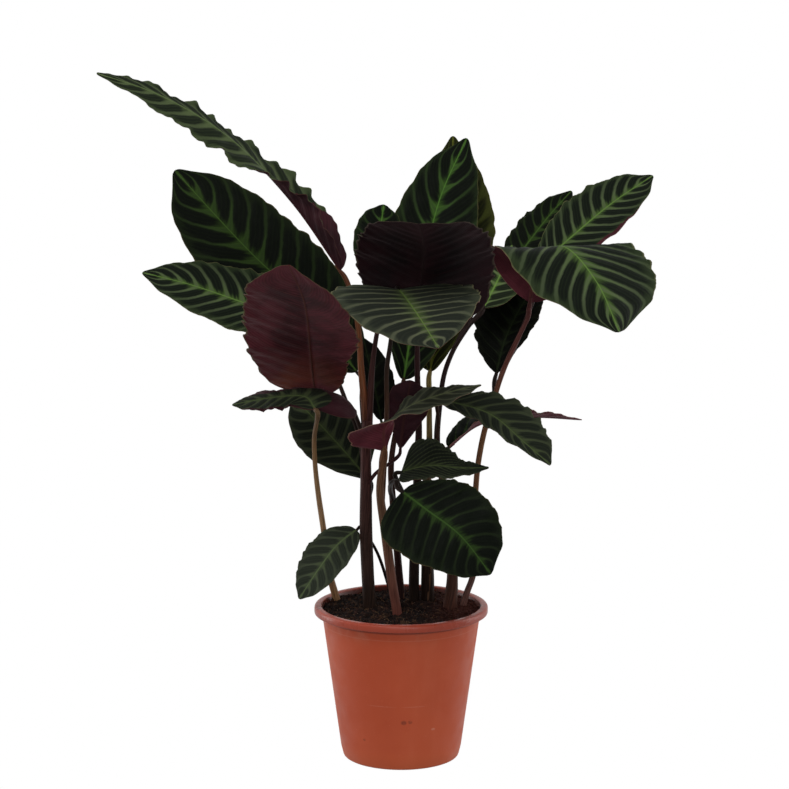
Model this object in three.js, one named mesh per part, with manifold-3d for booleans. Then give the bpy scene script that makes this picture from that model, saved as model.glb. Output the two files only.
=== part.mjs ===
// Potted calathea: a tapered plastic nursery pot, its peat, nine clumps of leaf stalks and
// twenty-four leaf blades. Millimetres, +Z up, origin at the centre of the pot's underside,
// -Y towards the viewer's side of the plant.
import * as THREE from 'three';
import { mergeVertices } from 'three/addons/utils/BufferGeometryUtils.js';
import Module from 'manifold-3d';

const wasm = await Module();
wasm.setup();

// ---------------------------------------------------------------- driving sizes, mm

// hem: the lip's lower outer edge. crest: its rounded top, set in and down from the corner.
// cornerBulge: how far out and up the middle of the foot's round corner lies, as shares.

const pot = {
  height: 187,
  lipRadius: 105,
  lipHeight: 9.5,
  skirt: 1.6,
  flange: 2.2,
  hem: { inward: 0.4, height: 2 },
  crest: { low: 3, inward: 1.5, down: 0.8, top: 4 },
  wall: 1.3,
  radiusAtFoot: 71.4,
  radiusAtTop: 97,
  cornerHeight: 7,
  cornerBulge: { out: 0.7, up: 0.3 },
  flatRadius: 65,
  floor: 1.8,
  sides: 40,
  drainHoles: 6,
  drainRing: 44,
  drainRadius: 6.5,
  drainSides: 12,
};

const soil = {
  level: 181,
  crown: 3,
  shoulder: { radius: 0.6, rise: 0.7 },
  clearance: 0.3,
  holeClearance: 0.4,
};

// bluntness, widest: how full the outline is and where it is widest, if a leaf has none of its
// own. pinch: how much its tip narrows. crowding: how much closer the rows lie at both ends.
// rightPhase: how far the right margin's waves are ahead of the left's.
const blade = {
  thickness: 1,
  midribDepth: 1.6,
  endHalfWidth: 1.2,
  stalkGap: 0.6,
  pulvinus: 8,
  bluntness: 0.62,
  widest: 0.45,
  pinchStart: 0.88,
  pinch: 0.45,
  crowding: 0.35,
  rightPhase: 2,
};

// longest straight run of a stalk, and the radius from which it has eight sides, not six
const stalk = { span: 27, thick: 4 };

// ---------------------------------------------------------------- leaves

// midrib: points from the blade's base to its tip.
// face: which way the upper side looks, from the base to the tip.
// left, right: the half width on that side of the midrib, seen on the upper side with the tip
// up; how steeply it rises from the midrib and how much more it bends out to the margin, in
// degrees. Each is one value or several, from the base to the tip.
// wave: height of the margin's waves and how many run along it.
const leaves = {
  blade_long_left: {
    midrib: [[-72, 20, 591], [-130, 25, 673], [-205, 20, 750], [-282, 0, 799], [-353, -25, 826]],
    face: [[0.82, 0.05, 0.56], [0.5, -0.1, 0.85], [0.35, -0.25, 0.9]],
    left: { width: [38, 38, 38, 32, 24], rise: [42, 36, -22, -38, -32], bend: [0] },
    right: { width: [64, 36, 31, 27, 32], rise: [50, 40, 2, 6, 20], bend: [0] },
    wave: [3, 6],
    rows: 18,
    columns: 6,
  },
  blade_wide_left: {
    midrib: [[-54, 62, 462], [-124, 110, 543], [-187, 150, 598], [-241, 180, 651], [-283, 195, 696]],
    face: [[0.15, -0.85, 0.5], [0.1, -0.8, 0.6]],
    left: { width: [62, 63, 72], rise: [8, 4], bend: [-8] },
    right: { width: [74, 68, 72], rise: [8, 4], bend: [-8] },
    wave: [2, 4],
    widest: 0.52,
    bluntness: 0.55,
    rows: 14,
    columns: 6,
  },
  blade_back_left: {
    midrib: [[-95, 40, 514], [-187, 75, 543], [-258, 90, 565], [-316, 95, 579]],
    face: [[0.15, -0.6, 0.75], [0.05, -0.6, 0.8]],
    left: { width: [50, 48], rise: [8, 4], bend: [-8] },
    right: { width: [54], rise: [8, 4], bend: [-8] },
    wave: [2, 4],
    rows: 14,
    columns: 4,
  },
  blade_purple_left: {
    midrib: [[-104, 34, 442], [-106, -50, 503], [-110, -162, 580], [-124, -210, 624]],
    face: [[0.1, 0.85, 0.5]],
    left: { width: [58, 52, 50, 66, 62, 34], rise: [-17], bend: [0] },
    right: { width: [92, 80, 75, 80, 112], rise: [-16, -4, 6], bend: [8] },
    wave: [2.5, 4],
    widest: 0.5,
    bluntness: 0.48,
    rows: 14,
    columns: 6,
  },
  blade_behind_stalks: {
    midrib: [[-24, 20, 410], [-34, 40, 455], [-46, 55, 504]],
    face: [[0.2, -0.8, 0.5]],
    left: { width: [14], rise: [5], bend: [0] },
    right: { width: [26], rise: [5], bend: [0] },
    wave: [1, 3],
    rows: 8,
    columns: 4,
  },
  blade_top_centre: {
    midrib: [[3, 25, 458], [21, 70, 561], [48, 120, 668], [81, 150, 739]],
    face: [[-0.1, -0.93, 0.35], [-0.1, -0.9, 0.4]],
    left: { width: [28, 44, 53, 56], rise: [12, 6], bend: [-8] },
    right: { width: [50, 60, 66], rise: [12, 6], bend: [-8] },
    wave: [2, 5],
    rows: 16,
    columns: 6,
  },
  blade_top_back: {
    midrib: [[35, 45, 465], [53, 95, 558], [63, 150, 651], [65, 190, 739]],
    face: [[0, -0.95, 0.3]],
    left: { width: [50], rise: [10, 5], bend: [-8] },
    right: { width: [28, 46, 61, 57], rise: [10, 5], bend: [-8] },
    wave: [2, 5],
    rows: 14,
    columns: 4,
  },
  blade_small_top: {
    midrib: [[-16, 0, 576], [-25, 20, 627], [-21, 45, 667]],
    face: [[0.1, -0.95, 0.3]],
    left: { width: [33], rise: [5], bend: [0] },
    right: { width: [32], rise: [5], bend: [0] },
    wave: [1.5, 4],
    bluntness: 0.5,
    rows: 10,
    columns: 4,
  },
  blade_purple_centre: {
    midrib: [[20, -20, 534], [24, -58, 589], [26, -115, 635], [19, -178, 666]],
    face: [[0, 0.75, 0.6], [0, 0.5, 0.85]],
    left: { width: [116, 88, 82, 80, 78], rise: [-4, 8, 7], bend: [4] },
    right: { width: [92, 82, 80, 82, 94], rise: [16, 10, 15], bend: [4] },
    wave: [3, 5],
    bluntness: 0.44,
    rows: 16,
    columns: 6,
  },
  blade_level_left: {
    midrib: [[-100, -92, 443], [-113, -62, 452], [-148, -48, 449], [-199, -42, 439]],
    face: [[-0.1, -0.2, 0.97], [-0.1, -0.36, 0.93]],
    left: { width: [30], rise: [-4], bend: [0] },
    right: { width: [108, 40, 22], rise: [14, 4], bend: [-100, 0] },
    wave: [1.5, 4],
    rows: 12,
    columns: 6,
  },
  blade_centre_front: {
    midrib: [[-3, -58, 578], [9, -104, 568], [22, -154, 555], [41, -208, 531]],
    face: [[0, -0.25, 0.97], [-0.1, -0.6, 0.8]],
    left: { width: [80], rise: [8, 6], bend: [-6] },
    right: { width: [96, 92, 82], rise: [18, 14], bend: [-6] },
    wave: [2.5, 5],
    widest: 0.36,
    rows: 16,
    columns: 6,
  },
  blade_right_inner: {
    midrib: [[99, 35, 544], [120, 70, 579], [136, 110, 611]],
    face: [[-0.2, -0.8, 0.55]],
    left: { width: [34], rise: [5], bend: [0] },
    right: { width: [34], rise: [5], bend: [0] },
    wave: [1.5, 4],
    rows: 10,
    columns: 4,
  },
  blade_dark_right: {
    midrib: [[115, 40, 464], [126, 60, 501], [148, 85, 541], [170, 100, 569]],
    face: [[-0.1, -0.7, 0.7]],
    left: { width: [46], rise: [8, 5], bend: [0] },
    right: { width: [25, 31], rise: [8, 5], bend: [0] },
    wave: [2, 4],
    widest: 0.55,
    rows: 10,
    columns: 4,
  },
  blade_right_front: {
    midrib: [[153, 5, 555], [160, -18, 609], [187, -68, 629], [222, -125, 594], [246, -150, 541]],
    face: [[-0.1, 0.85, 0.5], [-0.15, -0.2, 0.95], [0.15, -0.85, 0.5]],
    left: { width: [78, 84, 106, 156], rise: [0, -30], bend: [0] },
    right: { width: [60, 70, 74, 62], rise: [38, 8, -14, -8], bend: [0] },
    wave: [2.5, 5],
    bluntness: 0.56,
    rows: 18,
    columns: 6,
  },
  blade_upper_right: {
    midrib: [[168, 60, 593], [208, 85, 625], [259, 120, 662], [311, 150, 693]],
    face: [[-0.1, -0.65, 0.75]],
    left: { width: [34, 42, 46], rise: [6, 4], bend: [0] },
    right: { width: [40], rise: [6, 4], bend: [0] },
    wave: [2, 5],
    rows: 14,
    columns: 4,
  },
  blade_upper_right_back: {
    midrib: [[127, 90, 577], [159, 125, 616], [188, 160, 647], [213, 185, 671]],
    face: [[-0.1, -0.7, 0.7]],
    left: { width: [27], rise: [6, 4], bend: [0] },
    right: { width: [34], rise: [6, 4], bend: [0] },
    wave: [2, 4],
    rows: 10,
    columns: 4,
  },
  blade_right_drooping: {
    midrib: [[49, -30, 443], [103, -70, 433], [142, -115, 407], [170, -140, 386]],
    face: [[0.1, -0.45, 0.9], [0.1, -0.5, 0.85]],
    left: { width: [36, 40, 47], rise: [8, 4], bend: [0] },
    right: { width: [26, 22, 14], rise: [4, 2], bend: [0] },
    wave: [2, 5],
    rows: 14,
    columns: 4,
  },
  blade_right_level: {
    midrib: [[57, 10, 379], [96, 42, 401], [157, 60, 406], [221, 70, 401]],
    face: [[-0.2, 0.1, 0.97], [-0.1, 0.1, 0.97]],
    left: { width: [28], rise: [25, 10], bend: [0] },
    right: { width: [30], rise: [25, 15], bend: [0] },
    wave: [2, 5],
    rows: 12,
    columns: 4,
  },
  blade_low_left: {
    midrib: [[-54, 10, 277], [-77, -8, 262], [-100, -27, 235], [-122, -34, 202]],
    face: [[-0.35, -0.85, 0.4]],
    left: { width: [28], rise: [6, 4], bend: [0] },
    right: { width: [27, 29, 30], rise: [6, 4], bend: [0] },
    wave: [1.5, 4],
    rows: 12,
    columns: 4,
  },
  blade_low_right: {
    midrib: [[1, -95, 346], [27, -115, 330], [67, -135, 303], [103, -140, 258]],
    face: [[0.15, -0.9, 0.4]],
    left: { width: [48, 54, 62], rise: [6, 4], bend: [0] },
    right: { width: [96, 64, 58, 58], rise: [6, 4], bend: [0] },
    wave: [2, 5],
    rows: 14,
    columns: 6,
  },
  blade_low_centre: {
    midrib: [[0, -48, 360], [34, -62, 370], [69, -72, 369], [102, -80, 371]],
    face: [[0, -0.45, 0.9]],
    left: { width: [66, 46, 20, 10], rise: [5], bend: [0] },
    right: { width: [31, 30, 22], rise: [5], bend: [0] },
    wave: [1.5, 4],
    widest: 0.28,
    bluntness: 0.5,
    rows: 12,
    columns: 4,
  },
  blade_mid_centre: {
    midrib: [[-1, -24, 384], [3, -30, 419], [11, -34, 467]],
    face: [[0, 0.95, 0.3]],
    left: { width: [14, 26, 32], rise: [5], bend: [0] },
    right: { width: [12, 22, 26], rise: [5], bend: [0] },
    wave: [1, 3],
    widest: 0.6,
    bluntness: 0.45,
    rows: 8,
    columns: 4,
  },
  blade_middle_narrow: {
    midrib: [[-20, -74, 391], [-18, -100, 426], [10, -102, 448], [47, -86, 459], [93, -62, 466]],
    face: [[0, 1, 0.2], [-0.3, 0.1, 0.95], [-0.2, -0.4, 0.9], [-0.2, -0.3, 0.9]],
    left: { width: [8, 26, 14], rise: [5], bend: [0] },
    right: { width: [78, 32, 24, 18], rise: [0, -10], bend: [0] },
    wave: [2, 5],
    rows: 14,
    columns: 4,
  },
  blade_back_left_low: {
    midrib: [[-41, 16, 339], [-64, 35, 363], [-99, 55, 398], [-133, 65, 431]],
    face: [[0.1, -0.85, 0.5]],
    left: { width: [44, 38], rise: [6, 4], bend: [0] },
    right: { width: [41], rise: [6, 4], bend: [0] },
    wave: [2, 4],
    widest: 0.58,
    rows: 12,
    columns: 4,
  },
};

// ---------------------------------------------------------------- stalks

// Each clump is one body: its stem first, then the stalks that leave its sheaths. A route runs
// upwards; one with a blade goes on to that blade's base. Radii run evenly from end to end.
const clumps = {
  stalks_left: [
    {
      radii: [8, 7.5, 7, 6],
      points: [
        [-38, 0, 118], [-38, 0, 181], [-40, -2, 224], [-42, -5, 280],
        [-42, -8, 330], [-42, -12, 379], [-40, -16, 416],
      ],
    },
    {
      blade: 'blade_long_left',
      radii: [4.8, 3.4, 2.4],
      points: [[-41, -13, 404], [-44, -14, 440], [-48, -8, 481], [-50, 2, 516], [-59, 14, 562]],
    },
    {
      blade: 'blade_wide_left',
      radii: [3, 2],
      points: [[-43, -6, 366], [-45, 12, 400], [-48, 38, 432]],
    },
    {
      blade: 'blade_back_left',
      radii: [3, 2],
      points: [[-43, -5, 353], [-53, 14, 399], [-68, 26, 436], [-85, 36, 483]],
    },
    {
      blade: 'blade_purple_left',
      radii: [3, 2.4],
      points: [[-43, -12, 384], [-52, -2, 412], [-64, 16, 431], [-82, 34, 437], [-96, 42, 437]],
    },
    {
      blade: 'blade_behind_stalks',
      radii: [2.4, 1.6],
      points: [[-41, -8, 352], [-33, 5, 380]],
    },
    {
      blade: 'blade_mid_centre',
      radii: [2.4, 1.8],
      points: [[-42, -11, 334], [-30, -17, 352], [-12, -21, 366]],
    },
    {
      blade: 'blade_small_top',
      radii: [5.5, 3, 2.2],
      points: [[-40, -14, 392], [-37, -14, 440], [-34, -12, 482], [-28, -8, 523], [-20, -4, 552]],
    },
    {
      blade: 'blade_back_left_low',
      radii: [3, 2.2],
      points: [[-42, -6, 298], [-38, 3, 321]],
    },
  ],
  stalks_front: [
    {
      blade: 'blade_middle_narrow',
      radii: [6, 5.4, 5, 4],
      points: [[-4, -35, 118], [-4, -35, 177], [-11, -37, 226], [-19, -42, 288], [-25, -50, 338]],
    },
    {
      blade: 'blade_centre_front',
      radii: [3.4, 2.8, 2.4],
      points: [
        [-23, -48, 322], [-20, -47, 374], [-17, -46, 433], [-17, -46, 481], [-13, -48, 511],
        [-8, -49, 548],
      ],
    },
  ],
  stalks_middle: [
    {
      blade: 'blade_top_centre',
      radii: [4.6, 4, 2.6],
      points: [
        [0, 40, 118], [0, 40, 182], [-3, 32, 222], [-6, 20, 262],
        [-10, 8, 314], [-12, 2, 358], [-6, 8, 400], [1, 16, 429],
      ],
    },
    {
      blade: 'blade_low_right',
      radii: [3, 2.4],
      points: [[-10, 8, 314], [-13, -14, 330], [-12, -45, 345], [-6, -76, 354]],
    },
  ],
  stalks_centre: [
    {
      blade: 'blade_purple_centre',
      radii: [7, 6, 4.6, 3.6, 2.8],
      points: [
        [16, 28, 118], [16, 28, 177], [16, 24, 217], [17, 18, 262], [19, 10, 313],
        [20, 5, 364], [21, -2, 401], [20, -8, 440], [19, -13, 478], [19, -16, 510],
      ],
    },
    {
      blade: 'blade_low_centre',
      radii: [3, 2.2],
      points: [[17, 18, 262], [12, 0, 300], [0, -28, 335]],
    },
  ],
  stalks_centre_back: [
    {
      blade: 'blade_top_back',
      radii: [8.5, 7.5, 5.5, 3.6, 2.8],
      points: [
        [32, 34, 118], [32, 34, 176], [32, 30, 222], [30, 26, 273],
        [31, 22, 323], [34, 20, 373], [34, 26, 409], [34, 34, 438],
      ],
    },
  ],
  stalks_right_inner: [
    {
      blade: 'blade_right_inner',
      radii: [11, 6, 3.8, 3, 2.6],
      points: [
        [59, -2, 118], [59, -2, 181], [62, 0, 217], [61, 3, 260], [54, 4, 309], [47, 2, 358],
        [43, -2, 389], [46, -6, 433], [51, -2, 468], [61, 8, 494], [73, 18, 513], [87, 28, 530],
      ],
    },
    {
      blade: 'blade_upper_right_back',
      radii: [2.6, 2],
      points: [[61, 8, 494], [78, 30, 524], [98, 62, 550]],
    },
    {
      blade: 'blade_right_drooping',
      radii: [2.6, 2.2],
      points: [[43, -2, 389], [44, -12, 415]],
    },
    {
      blade: 'blade_right_level',
      radii: [2.6, 2],
      points: [[47, 2, 342], [51, 5, 361]],
    },
  ],
  stalk_far_left: [
    {
      blade: 'blade_level_left',
      radii: [5, 3.6, 2.8, 2.6],
      points: [
        [-70, 33, 118], [-78, 38, 177], [-87, 34, 215], [-94, 17, 277],
        [-99, -10, 324], [-102, -34, 365], [-102, -60, 402],
      ],
    },
  ],
  stalk_thin: [
    {
      blade: 'blade_low_left',
      radii: [2.6, 1.8, 1.8],
      points: [[-11, 45, 140], [-11, 45, 181], [-18, 38, 210], [-28, 28, 242], [-39, 18, 265]],
    },
  ],
  stalks_right: [
    {
      blade: 'blade_right_front',
      radii: [5, 3.6, 3.4, 3.2, 3, 2.6],
      points: [
        [75, 10, 118], [75, 10, 181], [80, 11, 199], [87, 12, 220], [89, 11, 258],
        [89, 9, 295], [90, 7, 333], [93, 5, 364], [100, 3, 401], [109, 3, 431],
        [117, 3, 459], [127, 2, 486], [141, 2, 516], [151, 3, 538],
      ],
    },
    {
      blade: 'blade_dark_right',
      radii: [3, 2.2],
      points: [[106, 4, 425], [111, 18, 441]],
    },
    {
      blade: 'blade_upper_right',
      radii: [3, 2.2],
      points: [[115, 6, 451], [122, 16, 471], [136, 32, 496], [151, 46, 530], [163, 54, 563]],
    },
  ],
};

// ---------------------------------------------------------------- shared helpers

const vector = ([x, y, z]) => new THREE.Vector3(x, y, z);
const mix = THREE.MathUtils.lerp;

// the smooth curve that a midrib or a stalk follows
const curveThrough = (points) => new THREE.CatmullRomCurve3(points, false, 'centripetal');

// value at u, 0 to 1, of a list of numbers spread evenly along a piece
function along(list, u) {
  if (list.length === 1) return list[0];
  const place = u * (list.length - 1);
  const first = Math.min(Math.floor(place), list.length - 2);
  return mix(list[first], list[first + 1], place - first);
}

// a closed triangle mesh from a plain list of positions and index triples
function solidGeometry(positions, triangles) {
  const geometry = new THREE.BufferGeometry();
  geometry.setAttribute('position', new THREE.Float32BufferAttribute(positions, 3));
  geometry.setIndex(triangles);
  return geometry;
}

function toManifold(geometry) {
  const bare = geometry.clone();
  bare.deleteAttribute('normal');
  bare.deleteAttribute('uv');
  const merged = mergeVertices(bare, 1e-4);
  const corners = merged.index.array;
  const triVerts = [];
  for (let at = 0; at < corners.length; at += 3) {
    const [a, b, c] = corners.slice(at, at + 3);
    if (a !== b && b !== c && c !== a) triVerts.push(a, b, c);
  }
  return new wasm.Manifold(new wasm.Mesh({
    numProp: 3,
    vertProperties: new Float32Array(merged.attributes.position.array),
    triVerts: new Uint32Array(triVerts),
  }));
}

// slivers that a join or a cut leaves are smaller than this, in mm
const sliver = 0.1;

function fromManifold(solid) {
  const mesh = solid.simplify(sliver).getMesh();
  return solidGeometry(Array.from(mesh.vertProperties), Array.from(mesh.triVerts));
}

// ---------------------------------------------------------------- blades

// share of the full half width at u along the midrib: rounded base, short pointed tip
function outline(leaf, u) {
  const stretch = Math.log(0.5) / Math.log(leaf.widest ?? blade.widest);
  const arch = Math.max(Math.sin(Math.PI * u ** stretch), 0);
  const pinch = 1 - blade.pinch * THREE.MathUtils.smoothstep(u, blade.pinchStart, 1);
  return arch ** (leaf.bluntness ?? blade.bluntness) * pinch;
}

// point of the blade's middle surface: u along the midrib, v from -1 (left) to 1 (right)
function bladePoint(leaf, spine, u, v) {
  const forward = spine.getTangentAt(u);
  const up = vector([0, 1, 2].map((axis) => along(leaf.face.map((face) => face[axis]), u)));
  up.addScaledVector(forward, -up.dot(forward)).normalize();
  const across = forward.clone().cross(up);
  const side = v < 0 ? leaf.left : leaf.right;
  const half = mix(blade.endHalfWidth, along(side.width, u), outline(leaf, u));
  const reach = Math.abs(v) * half;
  const degrees = along(side.rise, u) + (along(side.bend, u) * Math.abs(v)) / 2;
  const slope = THREE.MathUtils.degToRad(degrees);
  const [height, count] = leaf.wave;
  const phase = v < 0 ? 0 : blade.rightPhase;
  const ripple = height * v * v * Math.sin(Math.PI * u) * Math.sin(2 * Math.PI * count * u + phase);
  return spine.getPointAt(u)
    .addScaledVector(across, Math.sign(v) * reach * Math.cos(slope))
    .addScaledVector(up, reach * Math.sin(slope) + ripple);
}

function bladeNormal(leaf, spine, u, v) {
  const step = 0.02;
  const ahead = bladePoint(leaf, spine, Math.min(u + step, 1), v);
  const behind = bladePoint(leaf, spine, Math.max(u - step, 0), v);
  const right = bladePoint(leaf, spine, u, Math.min(v + step, 1));
  const left = bladePoint(leaf, spine, u, Math.max(v - step, -1));
  return right.sub(left).cross(ahead.sub(behind)).normalize();
}

// a thin closed blade: upper and lower face split alike, joined by a rim
function bladeGeometry(leaf) {
  const spine = curveThrough(leaf.midrib.map(vector));
  const { rows, columns } = leaf;
  const width = columns + 1;
  const layerSize = width * (rows + 1);
  const positions = [];
  for (const layer of [1, -1]) {
    for (let row = 0; row <= rows; row += 1) {
      const even = row / rows;
      const u = even - (blade.crowding * Math.sin(2 * Math.PI * even)) / rows;
      for (let column = 0; column <= columns; column += 1) {
        const v = (2 * column) / columns - 1;
        const rib = layer < 0 && v === 0 ? blade.midribDepth * (1 - u) : 0;
        const lift = (layer * blade.thickness) / 2 - rib;
        const point = bladePoint(leaf, spine, u, v);
        point.addScaledVector(bladeNormal(leaf, spine, u, v), lift);
        positions.push(point.x, point.y, point.z);
      }
    }
  }
  const upper = [];
  const lower = [];
  for (let row = 0; row < rows; row += 1) {
    for (let column = 0; column < columns; column += 1) {
      const near = row * width + column;
      const far = near + width;
      upper.push(near, near + 1, far + 1, near, far + 1, far);
      lower.push(near, far + 1, near + 1, near, far, far + 1);
    }
  }
  const rim = [];
  for (let column = 0; column < columns; column += 1) rim.push(column);
  for (let row = 0; row < rows; row += 1) rim.push(row * width + columns);
  for (let column = columns; column > 0; column -= 1) rim.push(rows * width + column);
  for (let row = rows; row > 0; row -= 1) rim.push(row * width);
  const edge = rim.flatMap((here, at) => {
    const next = rim[(at + 1) % rim.length];
    return [here, next + layerSize, next, here, here + layerSize, next + layerSize];
  });
  return solidGeometry(positions, [...upper, ...lower.map((corner) => corner + layerSize), ...edge]);
}

// ---------------------------------------------------------------- stalks

// a stalk's whole route: its own points, then straight into the blade's base
function stalkPoints(route) {
  const points = route.points.map(vector);
  if (!route.blade) return points;
  const spine = curveThrough(leaves[route.blade].midrib.map(vector));
  const forward = spine.getTangentAt(0);
  for (const back of [blade.pulvinus, blade.stalkGap]) {
    points.push(spine.getPointAt(0).addScaledVector(forward, -back));
  }
  return points;
}

// a round tapered tube with closed ends, grown by extra all over
function tubeGeometry(points, radii, extra = 0) {
  const ends = points.map((point) => point.clone());
  ends[0].addScaledVector(points[0].clone().sub(points[1]).normalize(), extra);
  const route = curveThrough(ends);
  const steps = Math.max(Math.ceil(route.getLength() / stalk.span), 3);
  const sides = Math.max(...radii) > stalk.thick ? 8 : 6;
  const frames = route.computeFrenetFrames(steps, false);
  const positions = [];
  for (let step = 0; step <= steps; step += 1) {
    const centre = route.getPointAt(step / steps);
    const radius = along(radii, step / steps) + extra;
    for (let side = 0; side < sides; side += 1) {
      const angle = (2 * Math.PI * side) / sides;
      const point = centre.clone()
        .addScaledVector(frames.normals[step], radius * Math.cos(angle))
        .addScaledVector(frames.binormals[step], radius * Math.sin(angle));
      positions.push(point.x, point.y, point.z);
    }
  }
  const triangles = [];
  for (let step = 0; step < steps; step += 1) {
    for (let side = 0; side < sides; side += 1) {
      const here = step * sides + side;
      const next = step * sides + ((side + 1) % sides);
      triangles.push(here, next, next + sides, here, next + sides, here + sides);
    }
  }
  for (let side = 1; side < sides - 1; side += 1) {
    const last = steps * sides;
    triangles.push(0, side + 1, side, last, last + side, last + side + 1);
  }
  return solidGeometry(positions, triangles);
}

function clumpGeometry(stalks) {
  const bodies = stalks.map((route) => toManifold(tubeGeometry(stalkPoints(route), route.radii)));
  return fromManifold(bodies.reduce((whole, body) => whole.add(body)));
}

// ---------------------------------------------------------------- pot and soil

const wallRadius = (height) => mix(pot.radiusAtFoot, pot.radiusAtTop, height / pot.height);

// a solid of revolution about Z from a profile of [radius, height] pairs
function turned(profile) {
  const points = profile.map(([radius, height]) => new THREE.Vector2(radius, height));
  return toManifold(new THREE.LatheGeometry(points, pot.sides).rotateX(Math.PI / 2));
}

function potGeometry() {
  const lipFoot = pot.height - pot.lipHeight;
  const underFlange = pot.height - pot.flange;
  const inner = (height) => wallRadius(height) - pot.wall;
  const corner = pot.cornerHeight;
  const { hem, crest, cornerBulge } = pot;
  const shell = turned([
    [0, 0],
    [pot.flatRadius, 0],
    [mix(pot.flatRadius, wallRadius(corner), cornerBulge.out), cornerBulge.up * corner],
    [wallRadius(corner), corner],
    [wallRadius(underFlange), underFlange],
    [pot.lipRadius - pot.skirt, underFlange],
    [pot.lipRadius - pot.skirt, lipFoot],
    [pot.lipRadius - hem.inward, lipFoot],
    [pot.lipRadius, lipFoot + hem.height],
    [pot.lipRadius, pot.height - crest.low],
    [pot.lipRadius - crest.inward, pot.height - crest.down],
    [pot.lipRadius - crest.top, pot.height],
    [inner(pot.height) + crest.inward, pot.height - crest.down],
    [inner(underFlange), underFlange],
    [inner(corner + pot.floor), corner + pot.floor],
    [pot.flatRadius - pot.wall, pot.floor],
    [0, pot.floor],
  ]);
  const bit = [pot.drainRadius, pot.drainRadius, 4 * pot.floor, pot.drainSides];
  const drill = new THREE.CylinderGeometry(...bit);
  drill.rotateX(Math.PI / 2);
  let body = shell;
  for (let hole = 0; hole < pot.drainHoles; hole += 1) {
    const angle = (2 * Math.PI * hole) / pot.drainHoles;
    const bore = drill.clone();
    bore.translate(pot.drainRing * Math.cos(angle), pot.drainRing * Math.sin(angle), 0);
    body = body.subtract(toManifold(bore));
  }
  return fromManifold(body);
}

// the peat fills the pot to just under its lip, with a plain hole for the foot of each clump
function soilGeometry() {
  const edge = (height) => wallRadius(height) - pot.wall - soil.clearance;
  const low = pot.floor + soil.clearance;
  const knee = pot.cornerHeight + pot.floor;
  const { shoulder } = soil;
  const body = turned([
    [0, low],
    [pot.flatRadius - pot.wall - soil.clearance, low],
    [edge(knee), knee + soil.clearance],
    [edge(soil.level), soil.level],
    [shoulder.radius * edge(soil.level), soil.level + shoulder.rise * soil.crown],
    [0, soil.level + soil.crown],
  ]);
  return fromManifold(Object.values(clumps).reduce((whole, [stem]) => {
    const hole = tubeGeometry(stalkPoints(stem), stem.radii, soil.holeClearance);
    return whole.subtract(toManifold(hole));
  }, body));
}

// ---------------------------------------------------------------- assembly

const plant = new THREE.Group();

function addPiece(name, geometry, color, roughness) {
  const material = new THREE.MeshStandardMaterial({ color, roughness, metalness: 0 });
  const mesh = new THREE.Mesh(geometry, material);
  mesh.name = name;
  plant.add(mesh);
}

addPiece('pot', potGeometry(), 0x8e3e28, 0.45);
addPiece('soil', soilGeometry(), 0x33241b, 0.95);
for (const [name, stalks] of Object.entries(clumps)) {
  addPiece(name, clumpGeometry(stalks), 0x5c3330, 0.5);
}
for (const [name, leaf] of Object.entries(leaves)) {
  addPiece(name, bladeGeometry(leaf), 0x24402a, 0.45);
}

export default plant;
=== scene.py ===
"""Potted calathea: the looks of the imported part, in the part's own frame, in Blender 4.5.

Each CAD node is stood in for by one finer piece of the same form. Leaf blades follow the same
midribs, widths and slopes as the solids, stalks follow the same routes, and the pot and the peat
have the same profile. Tables are in millimetres, Blender is in metres.
"""

import math

import bmesh
import bpy
import numpy as np
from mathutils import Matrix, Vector


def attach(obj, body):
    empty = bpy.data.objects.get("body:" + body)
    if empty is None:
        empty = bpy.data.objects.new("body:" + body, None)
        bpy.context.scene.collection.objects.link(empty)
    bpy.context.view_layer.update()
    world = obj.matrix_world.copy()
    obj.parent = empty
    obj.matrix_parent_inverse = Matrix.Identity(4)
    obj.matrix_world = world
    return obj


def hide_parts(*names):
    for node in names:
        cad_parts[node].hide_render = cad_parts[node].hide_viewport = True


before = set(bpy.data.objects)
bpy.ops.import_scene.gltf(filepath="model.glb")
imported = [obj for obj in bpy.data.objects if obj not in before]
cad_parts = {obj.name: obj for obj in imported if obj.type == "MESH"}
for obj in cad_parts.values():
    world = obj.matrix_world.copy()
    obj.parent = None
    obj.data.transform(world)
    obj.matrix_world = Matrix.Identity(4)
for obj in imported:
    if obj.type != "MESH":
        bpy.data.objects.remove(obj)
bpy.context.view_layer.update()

MM = 0.001
SEED = 41

# -------- driving sizes, mm

POT = {
    "height": 187,
    "lip_radius": 105,
    "lip_height": 9.5,
    "skirt": 1.6,
    "flange": 2.2,
    "wall": 1.3,
    "radius_at_foot": 71.4,
    "radius_at_top": 97,
    "corner_height": 7,
    "flat_radius": 65,
    "floor": 1.8,
    "sides": 192,
    "drain_holes": 6,
    "drain_ring": 44,
    "drain_radius": 6.5,
}

# grain: unevenness from one point of the surface to the next. loose_gap: between the wall and
# the loose crumbs and fibres. small_share: of the crumbs. fibre_turn: the most that a fibre
# turns from one of its points to the next, in radians.
PEAT = {
    "level": 181,
    "crown": 3,
    "clearance": 0.3,
    "sides": 180,
    "rings": 60,
    "grain": 0.35,
    "loose_gap": 2,
    "crumbs": 900,
    "small_share": 0.85,
    "small_radius": (0.6, 1.6),
    "large_radius": (1.8, 3.4),
    "fibres": 160,
    "fibre_length": (4, 11),
    "fibre_radius": (0.18, 0.4),
    "fibre_turn": 0.6,
}

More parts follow.
